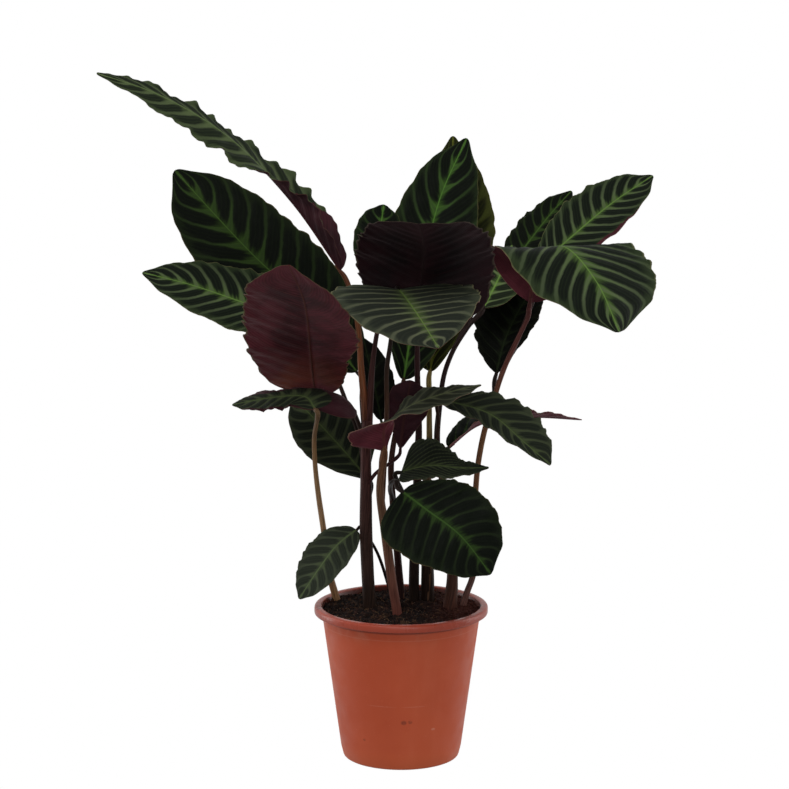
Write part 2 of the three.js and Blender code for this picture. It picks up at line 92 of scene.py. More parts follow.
# end_half_width: of the blade's two ends. bluntness, widest: how full the outline is and where
# it is widest, if a leaf has none of its own. pinch: how much its tip narrows. row_step: between
# rows of points. Midrib: half its width at the base, what that loses up to the tip, its depth
# below and its groove above. Vein: half its width as a share of a vein's spacing, and its height.
# crowding: how much closer the rows of points are towards both ends.
BLADE = {
    "thickness": 0.8,
    "edge_thickness": 0.35,
    "end_half_width": 1.2,
    "bluntness": 0.62,
    "widest": 0.45,
    "pinch_start": 0.88,
    "pinch": 0.45,
    "row_step": 2.1,
    "crowding": 0.28,
    "midrib_width": 2.2,
    "midrib_taper": 1.2,
    "midrib_depth": 1.6,
    "midrib_groove": 0.45,
    "vein_width": 0.07,
    "vein_height": 0.3,
}

# A stalk thicker than "thick" has more sides. The joint under a blade and the neck under it:
# how far below the blade, over what length, and how much wider. Sheath: how far the rolled
# sheath's edge stands out, as a share of the radius, on a stem and on the other stalks.
STALK = {
    "ring_step": 2.5,
    "thick": 4,
    "thick_sides": 24,
    "thin_sides": 16,
    "joint": (24, 9, 0.16),
    "neck": (38, 6, -0.1),
    "stem_sheath": 0.12,
    "stalk_sheath": 0.03,
}

# -------- leaves

# midrib: points from the blade's base to its tip.
# face: which way the upper side looks, from the base to the tip.
# width, rise, bend: half width, how steeply that half rises from the midrib and how much more it
# bends out to the margin, in degrees. Each has values for the left and for the right, seen on
# the upper side with the tip up, or the same for both; they run from the base to the tip.
# wave: height of the margin's waves and how many run along it.
# widest, bluntness: see BLADE.
# veins, slant: how many lateral veins, and how far they lean to the tip.
# pleat, ruffle, notch: depth of the folds between veins, of the margin's ruffle and its notches.
# top, under: materials. wine: where the upper side is wine too: side, first share of the half
# width, and how far up the blade it goes there and at the margin.
LEAVES = {
    "blade_long_left": dict(
        midrib=[(-72, 20, 591), (-130, 25, 673), (-205, 20, 750), (-282, 0, 799), (-353, -25, 826)],
        face=[(0.82, 0.05, 0.56), (0.5, -0.1, 0.85), (0.35, -0.25, 0.9)],
        width=[(38, 38, 38, 32, 24), (64, 36, 31, 27, 32)],
        rise=[(42, 36, -22, -38, -32), (50, 40, 2, 6, 20)], wave=(3, 6), veins=14, slant=0.06,
        pleat=1.4, ruffle=4, notch=0.06, top="top_crinkled", under="under_deep",
        wine=[(1, 0, 0.36, 0.16)],
    ),
    "blade_wide_left": dict(
        midrib=[(-54, 62, 462), (-124, 110, 543), (-187, 150, 598), (-241, 180, 651), (-283, 195, 696)],
        face=[(0.15, -0.85, 0.5), (0.1, -0.8, 0.6)], width=[(62, 63, 72), (74, 68, 72)],
        rise=[(8, 4)], bend=[(-8,)], wave=(2, 4), widest=0.52, bluntness=0.55, veins=12,
    ),
    "blade_back_left": dict(
        midrib=[(-95, 40, 514), (-187, 75, 543), (-258, 90, 565), (-316, 95, 579)],
        face=[(0.15, -0.6, 0.75), (0.05, -0.6, 0.8)], width=[(50, 48), (54,)], rise=[(8, 4)],
        bend=[(-8,)], wave=(2, 4), veins=12, top="top_lit",
    ),
    "blade_purple_left": dict(
        midrib=[(-104, 34, 442), (-106, -50, 503), (-110, -162, 580), (-124, -210, 624)],
        face=[(0.1, 0.85, 0.5)], width=[(58, 52, 50, 66, 62, 34), (92, 80, 75, 80, 112)],
        rise=[(-17,), (-16, -4, 6)], bend=[(0,), (8,)], wave=(2.5, 4), widest=0.5, bluntness=0.48,
        veins=12, under="under_bright", ruffle=2, notch=0.03,
    ),
    "blade_behind_stalks": dict(
        midrib=[(-24, 20, 410), (-34, 40, 455), (-46, 55, 504)], face=[(0.2, -0.8, 0.5)],
        width=[(14,), (26,)], wave=(1, 3), veins=6, top="top_dark", pleat=0.3,
    ),
    "blade_top_centre": dict(
        midrib=[(3, 25, 458), (21, 70, 561), (48, 120, 668), (81, 150, 739)],
        face=[(-0.1, -0.93, 0.35), (-0.1, -0.9, 0.4)], width=[(28, 44, 53, 56), (50, 60, 66)],
        rise=[(12, 6)], bend=[(-8,)], veins=11, top="top_vivid",
    ),
    "blade_top_back": dict(
        midrib=[(35, 45, 465), (53, 95, 558), (63, 150, 651), (65, 190, 739)],
        face=[(0, -0.95, 0.3)], width=[(50,), (28, 46, 61, 57)], rise=[(10, 5)], bend=[(-8,)],
        veins=12, top="top_olive",
    ),
    "blade_small_top": dict(
        midrib=[(-16, 0, 576), (-25, 20, 627), (-21, 45, 667)], face=[(0.1, -0.95, 0.3)],
        width=[(33,), (32,)], wave=(1.5, 4), bluntness=0.5, veins=7, top="top_vivid",
    ),
    "blade_purple_centre": dict(
        midrib=[(20, -20, 534), (24, -58, 589), (26, -115, 635), (19, -178, 666)],
        face=[(0, 0.75, 0.6), (0, 0.5, 0.85)], width=[(116, 88, 82, 80, 78), (92, 82, 80, 82, 94)],
        rise=[(-4, 8, 7), (16, 10, 15)], bend=[(4,)], wave=(3, 5), bluntness=0.44, veins=14,
        under="under_dark", notch=0.02,
    ),
    "blade_level_left": dict(
        midrib=[(-100, -92, 443), (-113, -62, 452), (-148, -48, 449), (-199, -42, 439)],
        face=[(-0.1, -0.2, 0.97), (-0.1, -0.36, 0.93)], width=[(30,), (108, 40, 22)],
        rise=[(-4,), (14, 4)], bend=[(0,), (-100, 0)], wave=(1.5, 4), veins=9, top="top_dull",
        under="under_deep", wine=[(1, 0.4, 0.7, 0.9), (-1, 0.82, 0.85, 0.95)],
    ),
    "blade_centre_front": dict(
        midrib=[(-3, -58, 578), (9, -104, 568), (22, -154, 555), (41, -208, 531)],
        face=[(0, -0.25, 0.97), (-0.1, -0.6, 0.8)], width=[(80,), (96, 92, 82)],
        rise=[(8, 6), (18, 14)], bend=[(-6,)], wave=(2.5, 5), widest=0.36, veins=11, slant=0.1,
        top="top_grey", pleat=0.9,
    ),
    "blade_right_inner": dict(
        midrib=[(99, 35, 544), (120, 70, 579), (136, 110, 611)], face=[(-0.2, -0.8, 0.55)],
        width=[(34,)], wave=(1.5, 4), veins=7, top="top_bright",
    ),
    "blade_dark_right": dict(
        midrib=[(115, 40, 464), (126, 60, 501), (148, 85, 541), (170, 100, 569)],
        face=[(-0.1, -0.7, 0.7)], width=[(46,), (25, 31)], rise=[(8, 5)], wave=(2, 4), widest=0.55,
        veins=9, top="top_dark", notch=0.04,
    ),
    "blade_right_front": dict(
        midrib=[(153, 5, 555), (160, -18, 609), (187, -68, 629), (222, -125, 594), (246, -150, 541)],
        face=[(-0.1, 0.85, 0.5), (-0.15, -0.2, 0.95), (0.15, -0.85, 0.5)],
        width=[(78, 84, 106, 156), (60, 70, 74, 62)], rise=[(0, -30), (38, 8, -14, -8)],
        wave=(2.5, 5), bluntness=0.56, veins=12, top="top_lit", under="under_rose", pleat=1.0,
        slant=0.18,
    ),
    "blade_upper_right": dict(
        midrib=[(168, 60, 593), (208, 85, 625), (259, 120, 662), (311, 150, 693)],
        face=[(-0.1, -0.65, 0.75)], width=[(34, 42, 46), (40,)], rise=[(6, 4)], veins=11,
        top="top_lit", wine=[(1, 0.88, 0.5, 0.8)],
    ),
    "blade_upper_right_back": dict(
        midrib=[(127, 90, 577), (159, 125, 616), (188, 160, 647), (213, 185, 671)],
        face=[(-0.1, -0.7, 0.7)], width=[(27,), (34,)], rise=[(6, 4)], wave=(2, 4), veins=9,
    ),
    "blade_right_drooping": dict(
        midrib=[(49, -30, 443), (103, -70, 433), (142, -115, 407), (170, -140, 386)],
        face=[(0.1, -0.45, 0.9), (0.1, -0.5, 0.85)], width=[(36, 40, 47), (26, 22, 14)],
        rise=[(8, 4), (4, 2)], veins=9, notch=0.03, top="top_dull",
    ),
    "blade_right_level": dict(
        midrib=[(57, 10, 379), (96, 42, 401), (157, 60, 406), (221, 70, 401)],
        face=[(-0.2, 0.1, 0.97), (-0.1, 0.1, 0.97)], width=[(28,), (30,)],
        rise=[(25, 10), (25, 15)], veins=9, under="under_rose",
    ),
    "blade_low_left": dict(
        midrib=[(-54, 10, 277), (-77, -8, 262), (-100, -27, 235), (-122, -34, 202)],
        face=[(-0.35, -0.85, 0.4)], width=[(28,), (27, 29, 30)], rise=[(6, 4)], wave=(1.5, 4),
        veins=8, top="top_soft",
    ),
    "blade_low_right": dict(
        midrib=[(1, -95, 346), (27, -115, 330), (67, -135, 303), (103, -140, 258)],
        face=[(0.15, -0.9, 0.4)], width=[(48, 54, 62), (96, 64, 58, 58)], rise=[(6, 4)], veins=10,
        top="top_plain",
    ),
    "blade_low_centre": dict(
        midrib=[(0, -48, 360), (34, -62, 370), (69, -72, 369), (102, -80, 371)],
        face=[(0, -0.45, 0.9)], width=[(66, 46, 20, 10), (31, 30, 22)], wave=(1.5, 4), widest=0.28,
        bluntness=0.5, veins=11, slant=0.45, top="top_dull", pleat=0.9,
    ),
    "blade_mid_centre": dict(
        midrib=[(-1, -24, 384), (3, -30, 419), (11, -34, 467)], face=[(0, 0.95, 0.3)],
        width=[(14, 26, 32), (12, 22, 26)], wave=(1, 3), widest=0.6, bluntness=0.45, veins=6,
        pleat=0.3, under="under_deep",
    ),
    "blade_middle_narrow": dict(
        midrib=[(-20, -74, 391), (-18, -100, 426), (10, -102, 448), (47, -86, 459), (93, -62, 466)],
        face=[(0, 1, 0.2), (-0.3, 0.1, 0.95), (-0.2, -0.4, 0.9), (-0.2, -0.3, 0.9)],
        width=[(8, 26, 14), (78, 32, 24, 18)], rise=[(5,), (0, -10)], veins=9, top="top_strip",
        under="under_rose", notch=0.05,
    ),
    "blade_back_left_low": dict(
        midrib=[(-41, 16, 339), (-64, 35, 363), (-99, 55, 398), (-133, 65, 431)],
        face=[(0.1, -0.85, 0.5)], width=[(44, 38), (41,)], rise=[(6, 4)], wave=(2, 4), widest=0.58,
        veins=9, top="top_dull",
    ),
}

# what isn't given for a leaf
USUAL = {
    "rise": [(5,)], "bend": [(0,)], "wave": (2, 5), "veins": 10, "slant": 0.13, "pleat": 0.6,
    "ruffle": 1.2, "notch": 0.015, "top": "top_deep", "under": "under_wine", "wine": (),
}

# -------- stalks

# Each clump is one piece: its stem first, then the stalks that leave its sheaths. A route runs
# upwards; one with a blade goes on to that blade's base. Radii run evenly from end to end, and
# so do the tones that the stalk shows in soft light.
CLUMPS = {
    "stalks_left": [
        dict(radii=(8, 7.5, 7, 6),
             tones=[(32, 23, 19), (28, 19, 15), (38, 25, 21), (48, 29, 27), (60, 35, 33)],
             points=[(-38, 0, 118), (-38, 0, 181), (-40, -2, 224), (-42, -5, 280), (-42, -8, 330),
                     (-42, -12, 379), (-40, -16, 416)]),
        dict(blade="blade_long_left", radii=(4.8, 3.4, 2.4),
             tones=[(64, 36, 27), (90, 52, 32), (84, 50, 32), (64, 38, 27)],
             points=[(-41, -13, 404), (-44, -14, 440), (-48, -8, 481), (-50, 2, 516),
                     (-59, 14, 562)]),
        dict(blade="blade_wide_left", radii=(3, 2), tones=[(38, 24, 20), (24, 17, 14)],
             points=[(-43, -6, 366), (-45, 12, 400), (-48, 38, 432)]),
        dict(blade="blade_back_left", radii=(3, 2), tones=[(36, 24, 20), (26, 18, 14)],
             points=[(-43, -5, 353), (-53, 14, 399), (-68, 26, 436), (-85, 36, 483)]),
        dict(blade="blade_purple_left", radii=(3, 2.4), tones=[(34, 22, 18), (26, 18, 15)],
             points=[(-43, -12, 384), (-52, -2, 412), (-64, 16, 431), (-82, 34, 437),
                     (-96, 42, 437)]),
        dict(blade="blade_behind_stalks", radii=(2.4, 1.6), tones=[(44, 48, 32), (36, 42, 26)],
             points=[(-41, -8, 352), (-33, 5, 380)]),
        dict(blade="blade_mid_centre", radii=(2.4, 1.8), tones=[(44, 22, 22), (38, 20, 20)],
             points=[(-42, -11, 334), (-30, -17, 352), (-12, -21, 366)]),
        dict(blade="blade_small_top", radii=(5.5, 3, 2.2),
             tones=[(56, 32, 28), (44, 25, 24), (34, 19, 18)],
             points=[(-40, -14, 392), (-37, -14, 440), (-34, -12, 482), (-28, -8, 523),
                     (-20, -4, 552)]),
        dict(blade="blade_back_left_low", radii=(3, 2.2), tones=[(34, 24, 20), (28, 20, 16)],
             points=[(-42, -6, 298), (-38, 3, 321)]),
    ],
    "stalks_front": [
        dict(blade="blade_middle_narrow", radii=(6, 5.4, 5, 4),
             tones=[(80, 38, 34), (76, 46, 38), (76, 56, 42), (84, 56, 38)],
             points=[(-4, -35, 118), (-4, -35, 177), (-11, -37, 226), (-19, -42, 288),
                     (-25, -50, 338)]),
        dict(blade="blade_centre_front", radii=(3.4, 2.8, 2.4),
             tones=[(64, 42, 30), (56, 36, 26), (30, 22, 18), (14, 11, 10)],
             points=[(-23, -48, 322), (-20, -47, 374), (-17, -46, 433), (-17, -46, 481),
                     (-13, -48, 511), (-8, -49, 548)]),
    ],
    "stalks_middle": [
        dict(blade="blade_top_centre", radii=(4.6, 4, 2.6),
             tones=[(30, 20, 16), (34, 20, 19), (44, 26, 24), (50, 32, 26), (56, 40, 30)],
             points=[(0, 40, 118), (0, 40, 182), (-3, 32, 222), (-6, 20, 262), (-10, 8, 314),
                     (-12, 2, 358), (-6, 8, 400), (1, 16, 429)]),
        dict(blade="blade_low_right", radii=(3, 2.4), tones=[(24, 16, 14), (22, 16, 13)],
             points=[(-10, 8, 314), (-13, -14, 330), (-12, -45, 345), (-6, -76, 354)]),
    ],
    "stalks_centre": [
        dict(blade="blade_purple_centre", radii=(7, 6, 4.6, 3.6, 2.8),
             tones=[(20, 15, 11), (22, 15, 12), (26, 17, 15), (38, 21, 21), (40, 22, 23)],
             points=[(16, 28, 118), (16, 28, 177), (16, 24, 217), (17, 18, 262), (19, 10, 313),
                     (20, 5, 364), (21, -2, 401), (20, -8, 440), (19, -13, 478), (19, -16, 510)]),
        dict(blade="blade_low_centre", radii=(3, 2.2), tones=[(20, 14, 12), (24, 19, 15)],
             points=[(17, 18, 262), (12, 0, 300), (0, -28, 335)]),
    ],
    "stalks_centre_back": [
        dict(blade="blade_top_back", radii=(8.5, 7.5, 5.5, 3.6, 2.8),
             tones=[(22, 15, 11), (24, 16, 13), (50, 36, 26), (96, 80, 50), (104, 92, 52)],
             points=[(32, 34, 118), (32, 34, 176), (32, 30, 222), (30, 26, 273), (31, 22, 323),
                     (34, 20, 373), (34, 26, 409), (34, 34, 438)]),
    ],
    "stalks_right_inner": [
        dict(blade="blade_right_inner", radii=(11, 6, 3.8, 3, 2.6),
             tones=[(62, 34, 28), (50, 31, 24), (44, 28, 23), (38, 22, 20), (28, 18, 17),
                    (26, 18, 16)],
             points=[(59, -2, 118), (59, -2, 181), (62, 0, 217), (61, 3, 260), (54, 4, 309),
                     (47, 2, 358), (43, -2, 389), (46, -6, 433), (51, -2, 468), (61, 8, 494),
                     (73, 18, 513), (87, 28, 530)]),
        dict(blade="blade_upper_right_back", radii=(2.6, 2), tones=[(26, 18, 16), (30, 20, 17)],
             points=[(61, 8, 494), (78, 30, 524), (98, 62, 550)]),
        dict(blade="blade_right_drooping", radii=(2.6, 2.2), tones=[(40, 24, 20), (34, 24, 18)],
             points=[(43, -2, 389), (44, -12, 415)]),
        dict(blade="blade_right_level", radii=(2.6, 2), tones=[(38, 24, 20), (40, 26, 22)],
             points=[(47, 2, 342), (51, 5, 361)]),
    ],
    "stalk_far_left": [
        dict(blade="blade_level_left", radii=(5, 3.6, 2.8, 2.6),
             tones=[(104, 74, 50), (112, 84, 58), (124, 98, 72), (108, 82, 56), (64, 50, 36)],
             points=[(-70, 33, 118), (-78, 38, 177), (-87, 34, 215), (-94, 17, 277),
                     (-99, -10, 324), (-102, -34, 365), (-102, -60, 402)]),
    ],
    "stalk_thin": [
        dict(blade="blade_low_left", radii=(2.6, 1.8, 1.8),
             tones=[(26, 19, 15), (24, 17, 15), (30, 22, 18)],
             points=[(-11, 45, 140), (-11, 45, 181), (-18, 38, 210), (-28, 28, 242),
                     (-39, 18, 265)]),
    ],
    "stalks_right": [
        dict(blade="blade_right_front", radii=(5, 3.6, 3.4, 3.2, 3, 2.6),
             tones=[(96, 62, 50), (70, 50, 46), (96, 66, 48), (100, 70, 48), (74, 44, 38),
                    (62, 34, 33)],
             points=[(75, 10, 118), (75, 10, 181), (80, 11, 199), (87, 12, 220), (89, 11, 258),
                     (89, 9, 295), (90, 7, 333), (93, 5, 364), (100, 3, 401), (109, 3, 431),
                     (117, 3, 459), (127, 2, 486), (141, 2, 516), (151, 3, 538)]),
        dict(blade="blade_dark_right", radii=(3, 2.2), tones=[(26, 18, 16), (22, 16, 13)],
             points=[(106, 4, 425), (111, 18, 441)]),
        dict(blade="blade_upper_right", radii=(3, 2.2), tones=[(38, 22, 20), (30, 20, 17)],
             points=[(115, 6, 451), (122, 16, 471), (136, 32, 496), (151, 46, 530),
                     (163, 54, 563)]),
    ],
}

# -------- looks

# how much brighter a surface's own colour is than its tone in the photograph's soft light
GAIN = 2.0

POT_TONES = {
    "body": (157, 66, 40),
    "warm": (166, 74, 46),
    "light": (176, 92, 66),
    "foot": (176, 86, 50),
    # pale tone of dusty patches and scuffs, also the painted highlight along the ledge
    "dust_and_highlight": (186, 142, 122),
    # dark tone of scuffs, also the painted shadow under the lip
    "worn": (74, 32, 24),
    "lip": (134, 54, 37),
    # painted shade: the rim's inner wall, darker all round above the lip's lower edge
    "rim_inside_shade": (66, 27, 19),
}

# marks on the front of the pot: x, height, half width, half height, strength and tone
SCUFFS = (
    (3, 62, 4.5, 3.6, 0.6, "worn"),
    (10.5, 62.5, 3.6, 3, 0.42, "worn"),
    (38, 51, 3, 2, 0.35, "dust_and_highlight"),
    (-44, 36, 2, 2, 0.4, "worn"),
    (-24, 82, 22, 0.9, 0.12, "dust_and_highlight"),
    (16, 82, 19, 0.9, 0.12, "dust_and_highlight"),
)

# darker and lighter tone
PEAT_TONES = {
    "peat": ((11, 7, 7), (28, 18, 15)),
    "peat_crumbs": ((19, 12, 11), (48, 31, 25)),
    "peat_fibres": ((56, 38, 26), (96, 74, 54)),
}

# upper sides: dark ovals, ground, feather, lateral vein, outer band, rim, then the reach of the
# feather, how strongly the lines show and how thin they are. Besides real differences between
# leaves, some are lit and shaded copies of one colouring, marked as painted light or shade.
TOPS = {
    "top_deep": ((9, 12, 8), (17, 22, 12), (44, 63, 26), (36, 49, 25), (22, 29, 16),
                 (66, 62, 38), 0.8, 0.75, 0.86),
    "top_plain": ((9, 12, 8), (15, 19, 12), (37, 55, 23), (29, 38, 21), (19, 25, 15),
                  (60, 56, 36), 0.45, 0.5, 0.84),
    "top_vivid": ((8, 11, 7), (18, 24, 13), (54, 82, 32), (42, 58, 30), (27, 36, 20),
                  (70, 68, 42), 0.75, 0.7, 0.86),
    "top_lit": ((15, 19, 14), (31, 39, 25), (68, 90, 42), (70, 80, 56), (40, 49, 30),
                (84, 84, 56), 0.8, 0.85, 0.76),
    # painted light: a lighter copy for a leaf that faces the lamps
    "top_bright": ((24, 29, 20), (42, 52, 32), (80, 106, 50), (90, 102, 70), (56, 68, 42),
                   (96, 96, 64), 0.75, 0.9, 0.84),
    # painted sheen: a greyer copy for a leaf that shows a grey sheen
    "top_soft": ((33, 37, 30), (47, 52, 41), (58, 68, 44), (62, 68, 52), (40, 45, 34),
                 (66, 66, 48), 0.7, 0.5, 0.8),
    "top_strip": ((42, 45, 36), (60, 63, 50), (78, 84, 58), (86, 89, 70), (64, 67, 53),
                  (94, 95, 72), 0.6, 0.6, 0.74),
    # painted light and sheen: a lighter, greyer copy for a leaf that faces up to the lamps
    "top_grey": ((31, 34, 29), (43, 47, 37), (68, 84, 42), (82, 85, 67), (53, 57, 45),
                 (90, 88, 64), 0.75, 0.9, 0.8),
    "top_dull": ((24, 28, 22), (40, 45, 33), (52, 62, 36), (56, 62, 44), (46, 51, 38),
                 (66, 66, 48), 0.7, 0.7, 0.78),
    "top_crinkled": ((24, 29, 21), (44, 52, 34), (64, 76, 46), (72, 82, 56), (52, 62, 40),
                     (80, 86, 58), 0.6, 0.7, 0.7),
    # painted shade: a darker copy for leaves in shadow
    "top_dark": ((7, 8, 6), (12, 14, 9), (20, 26, 14), (18, 22, 14), (15, 17, 11), (28, 26, 18),
                 0.7, 0.4, 0.84),
    "top_olive": ((22, 24, 10), (42, 46, 18), (66, 70, 24), (58, 64, 28), (48, 50, 22),
                  (70, 66, 32), 0.9, 0.5, 0.8),
}

# under sides: ground, lighter, vein, rim, how far the lighter colour takes over outwards, and
# the spots of an ageing leaf. Two are lit and shaded copies of the wine colouring, as marked.
UNDERS = {
    "under_wine": ((40, 15, 20), (60, 24, 31), (58, 28, 22), (84, 48, 46), 0.3, None),
    # painted light: a lighter copy for an underside that faces the front lamp; its spots are real
    "under_bright": ((40, 16, 19), (78, 35, 41), (56, 27, 20), (78, 68, 47), 0.75, (102, 52, 36)),
    # painted shade: a darker copy for an underside that faces down, in shadow
    "under_dark": ((11, 8, 9), (30, 15, 18), (24, 15, 16), (58, 49, 42), 0.75, None),
    "under_deep": ((30, 13, 17), (48, 22, 27), (42, 21, 20), (66, 44, 38), 0.3, None),
    "under_rose": ((60, 25, 31), (92, 43, 51), (70, 36, 34), (136, 104, 88), 0.5, None),
}

# the white surroundings: how bright they are as light, and as seen in a glossy surface
WORLD_LEVEL = 0.12
WORLD_REFLECTED = 0.7

# the floor and the backdrop round it, in metres
FLOOR_RADIUS = 60
FLOOR_HEIGHT = -0.0006
BACKDROP_RADIUS = 58

# area lights: place and aim in metres, width and height, power
LIGHTS = {
    "key": ((-0.5, -1.8, 2.9), (0, 0, 0.45), (2.4, 1.6), 34),
    "front": ((0.4, -3.4, 1.0), (0, 0, 0.4), (2.6, 1.8), 24),
    "left": ((-2.1, 0.7, 0.7), (0, 0, 0.3), (1.2, 2.2), 18),
    "right": ((2.1, 0.7, 0.7), (0, 0, 0.3), (1.2, 2.2), 17),
}

# the photograph's camera: place in mm, degrees down, focal length and picture in pixels
CAMERA = (-8, -3000, 950)
CAMERA_DOWN = 9.57
FOCAL_PIXELS = 2549
PICTURE = 789
SENSOR = 36

# -------- curves and meshes


def unit(vectors):
    """Vectors scaled to length 1, along the last axis."""
    length = np.linalg.norm(vectors, axis=-1, keepdims=True)
    return vectors / np.maximum(length, 1e-9)


def smoothstep(value, low, high):
    share = np.clip((value - low) / (high - low), 0, 1)
    return share * share * (3 - 2 * share)


def along(values, u):
    """Values spread evenly along a piece, read at u from 0 to 1."""
    values = np.asarray(values, float)
    places = np.linspace(0, 1, len(values)) if len(values) > 1 else [0]
    if values.ndim == 1:
        return np.interp(u, places, values)
    return np.stack([np.interp(u, places, column) for column in values.T], axis=-1)


class Route:
    """A centripetal Catmull-Rom curve through a list of points, read by length."""

    DIVISIONS = 200

    def __init__(self, points):
        self.points = np.array(points, float)
        self.steps = np.linspace(0, 1, self.DIVISIONS + 1)
        spans = np.linalg.norm(np.diff(self.place(self.steps), axis=0), axis=1)
        self.lengths = np.concatenate([[0], np.cumsum(spans)])
        self.length = self.lengths[-1]

    def place(self, t):
        """Points at curve parameters t."""
        points = self.points
        last = len(points) - 1
        index = np.minimum(np.floor(t * last).astype(int), last - 1)
        share = (t * last - index)[:, None]
        wide = np.vstack([2 * points[0] - points[1], points, 2 * points[-1] - points[-2]])
        p0, p1, p2, p3 = (wide[index + step] for step in range(4))
        gap0, gap1, gap2 = (
            np.sqrt(np.linalg.norm(b - a, axis=1))[:, None]
            for a, b in ((p0, p1), (p1, p2), (p2, p3))
        )
        start = gap1 * ((p1 - p0) / gap0 - (p2 - p0) / (gap0 + gap1) + (p2 - p1) / gap1)
        end = gap1 * ((p2 - p1) / gap1 - (p3 - p1) / (gap1 + gap2) + (p3 - p2) / gap2)
        square = -3 * p1 + 3 * p2 - 2 * start - end
        cube = 2 * p1 - 2 * p2 + start + end
        return p1 + start * share + square * share**2 + cube * share**3

    def parameter(self, u):
        return np.interp(np.asarray(u, float) * self.length, self.lengths, self.steps)

    def at(self, u):
        return self.place(self.parameter(u))

    def tangent(self, u):
        t = self.parameter(u)
        delta = 0.0001
        behind = self.place(np.maximum(t - delta, 0))
        return unit(self.place(np.minimum(t + delta, 1)) - behind)


def bands(rings, sides, start=0):
    """Faces between closed rings of points that follow each other from number start on."""
    low = start + sides * np.arange(rings - 1)[:, None]
    spot = np.arange(sides)[None, :]
    after = (spot + 1) % sides
    faces = [low + spot, low + after, low + sides + after, low + sides + spot]
    return np.stack(faces, axis=-1).reshape(-1, 4).tolist()


def new_mesh(name, points, faces, smooth=True):
    """A mesh object from points in millimetres and a list or array of faces."""
    mesh = bpy.data.meshes.new(name)
    mesh.from_pydata((np.asarray(points) * MM).tolist(), [], [list(face) for face in faces])
    mesh.polygons.foreach_set("use_smooth", [smooth] * len(mesh.polygons))
    mesh.update()
    piece = bpy.data.objects.new(name, mesh)
    bpy.context.scene.collection.objects.link(piece)
    return piece


def attribute(piece, name, kind, values):
    """Values for each vertex that the piece's material reads by name."""
    layer = piece.data.attributes.new(name, kind, "POINT")
    field = {"FLOAT": "value", "FLOAT_VECTOR": "vector", "FLOAT_COLOR": "color"}[kind]
    layer.data.foreach_set(field, np.asarray(values, np.float32).ravel())


def place(piece, node):
    """The piece stands for the CAD node and moves with the only body."""
    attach(piece, "root")
    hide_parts(node)


# -------- blades


def outline(leaf, u):
    """Share of the full half width at u: rounded base, short pointed tip."""
    stretch = math.log(0.5) / math.log(leaf.get("widest", BLADE["widest"]))
    arch = np.maximum(np.sin(np.pi * u**stretch), 0)
    pinch = 1 - BLADE["pinch"] * smoothstep(u, BLADE["pinch_start"], 1)
    return arch ** leaf.get("bluntness", BLADE["bluntness"]) * pinch


def vein_place(leaf, u, v):
    """Whole numbers lie on the lateral veins, which slant and curve towards the tip."""
    out = np.abs(v)
    return leaf["veins"] * (u - leaf["slant"] * out - 0.05 * out**2) + 0.5


def blade_surface(leaf, spine, u, v, ragged):
    """Points and half widths of a blade's middle surface at rows u and columns v.

    v runs from -1, left margin, to 1, right margin. ragged holds the margin's own unevenness.
    """
    rows = u
    u, v = u[:, None], v[None, :]
    forward = spine.tangent(rows)
    up = along(leaf["face"], rows)
    up = unit(up - forward * np.sum(up * forward, axis=1, keepdims=True))
    across = np.cross(forward, up)

    def both(item):
        """A leaf's values for its left and right side, each in its columns."""
        left, right = (along(leaf[item][side], rows)[:, None] for side in (0, -1))
        return np.where(v < 0, left, right)

    narrow = BLADE["end_half_width"]
    half = narrow + (both("width") - narrow) * outline(leaf, u)
    out = np.abs(v)
    veins = vein_place(leaf, u, v)
    swell = np.sin(np.pi * u)
    scallop = np.cos(2 * np.pi * veins) * swell
    half = half * (1 + (leaf["notch"] * (0.8 * ragged - scallop)) * out**3)
    reach = out * half
    slope = np.radians(both("rise") + both("bend") * out / 2)
    height, count = leaf["wave"]
    phase = np.where(v < 0, 0, 2)
    ripple = height * v**2 * swell * np.sin(2 * np.pi * count * u + phase)
    ripple = ripple + leaf["ruffle"] * out**4 * swell * (ragged - 0.5 * scallop)
    pleat = -leaf["pleat"] * np.cos(2 * np.pi * veins) * smoothstep(out, 0.02, 0.3)
    pleat = pleat * (1 - 0.55 * out) * swell**0.5
    lift = reach * np.sin(slope) + ripple + pleat
    side = np.sign(v) * reach * np.cos(slope)
    points = spine.at(rows)[:, None, :] + across[:, None, :] * side[..., None]
    return points + up[:, None, :] * lift[..., None], half


# share of the half width at each column, closer together at the midrib and at the margin
HALF_COLUMNS = np.array(
    [0, 0.012, 0.03, 0.055, 0.09, 0.14, 0.2, 0.27, 0.34, 0.41, 0.48,
     0.55, 0.62, 0.69, 0.76, 0.82, 0.875, 0.92, 0.955, 0.982, 1]
)
COLUMNS = np.concatenate([-HALF_COLUMNS[:0:-1], HALF_COLUMNS])


def ragged_margin(rows, draw):
    """Smooth random unevenness for each row, its own for either margin."""
    sides = []
    for _ in range(2):
        total = np.zeros(len(rows))
        for waves, size in ((9, 0.5), (17, 0.35), (31, 0.25)):
            total += size * np.sin(2 * np.pi * (waves * rows + draw.random()))
        sides.append(total)
    return np.where(COLUMNS[None, :] < 0, sides[0][:, None], sides[1][:, None])


def wine_faces(leaf, u):
    """Which of the upper side's faces are wine, row by row."""
    middles = (COLUMNS[:-1] + COLUMNS[1:]) / 2
    far = np.abs(middles)
    wine = np.zeros((len(u) - 1, len(middles)), bool)
    for side, start, at_start, at_margin in leaf["wine"]:
        limit = at_start + (at_margin - at_start) * (far - start) / (1 - start)
        reached = (np.sign(middles) == side) & (far > start)
        wine |= reached[None, :] & (u[:-1, None] < limit[None, :])
    return wine.ravel()


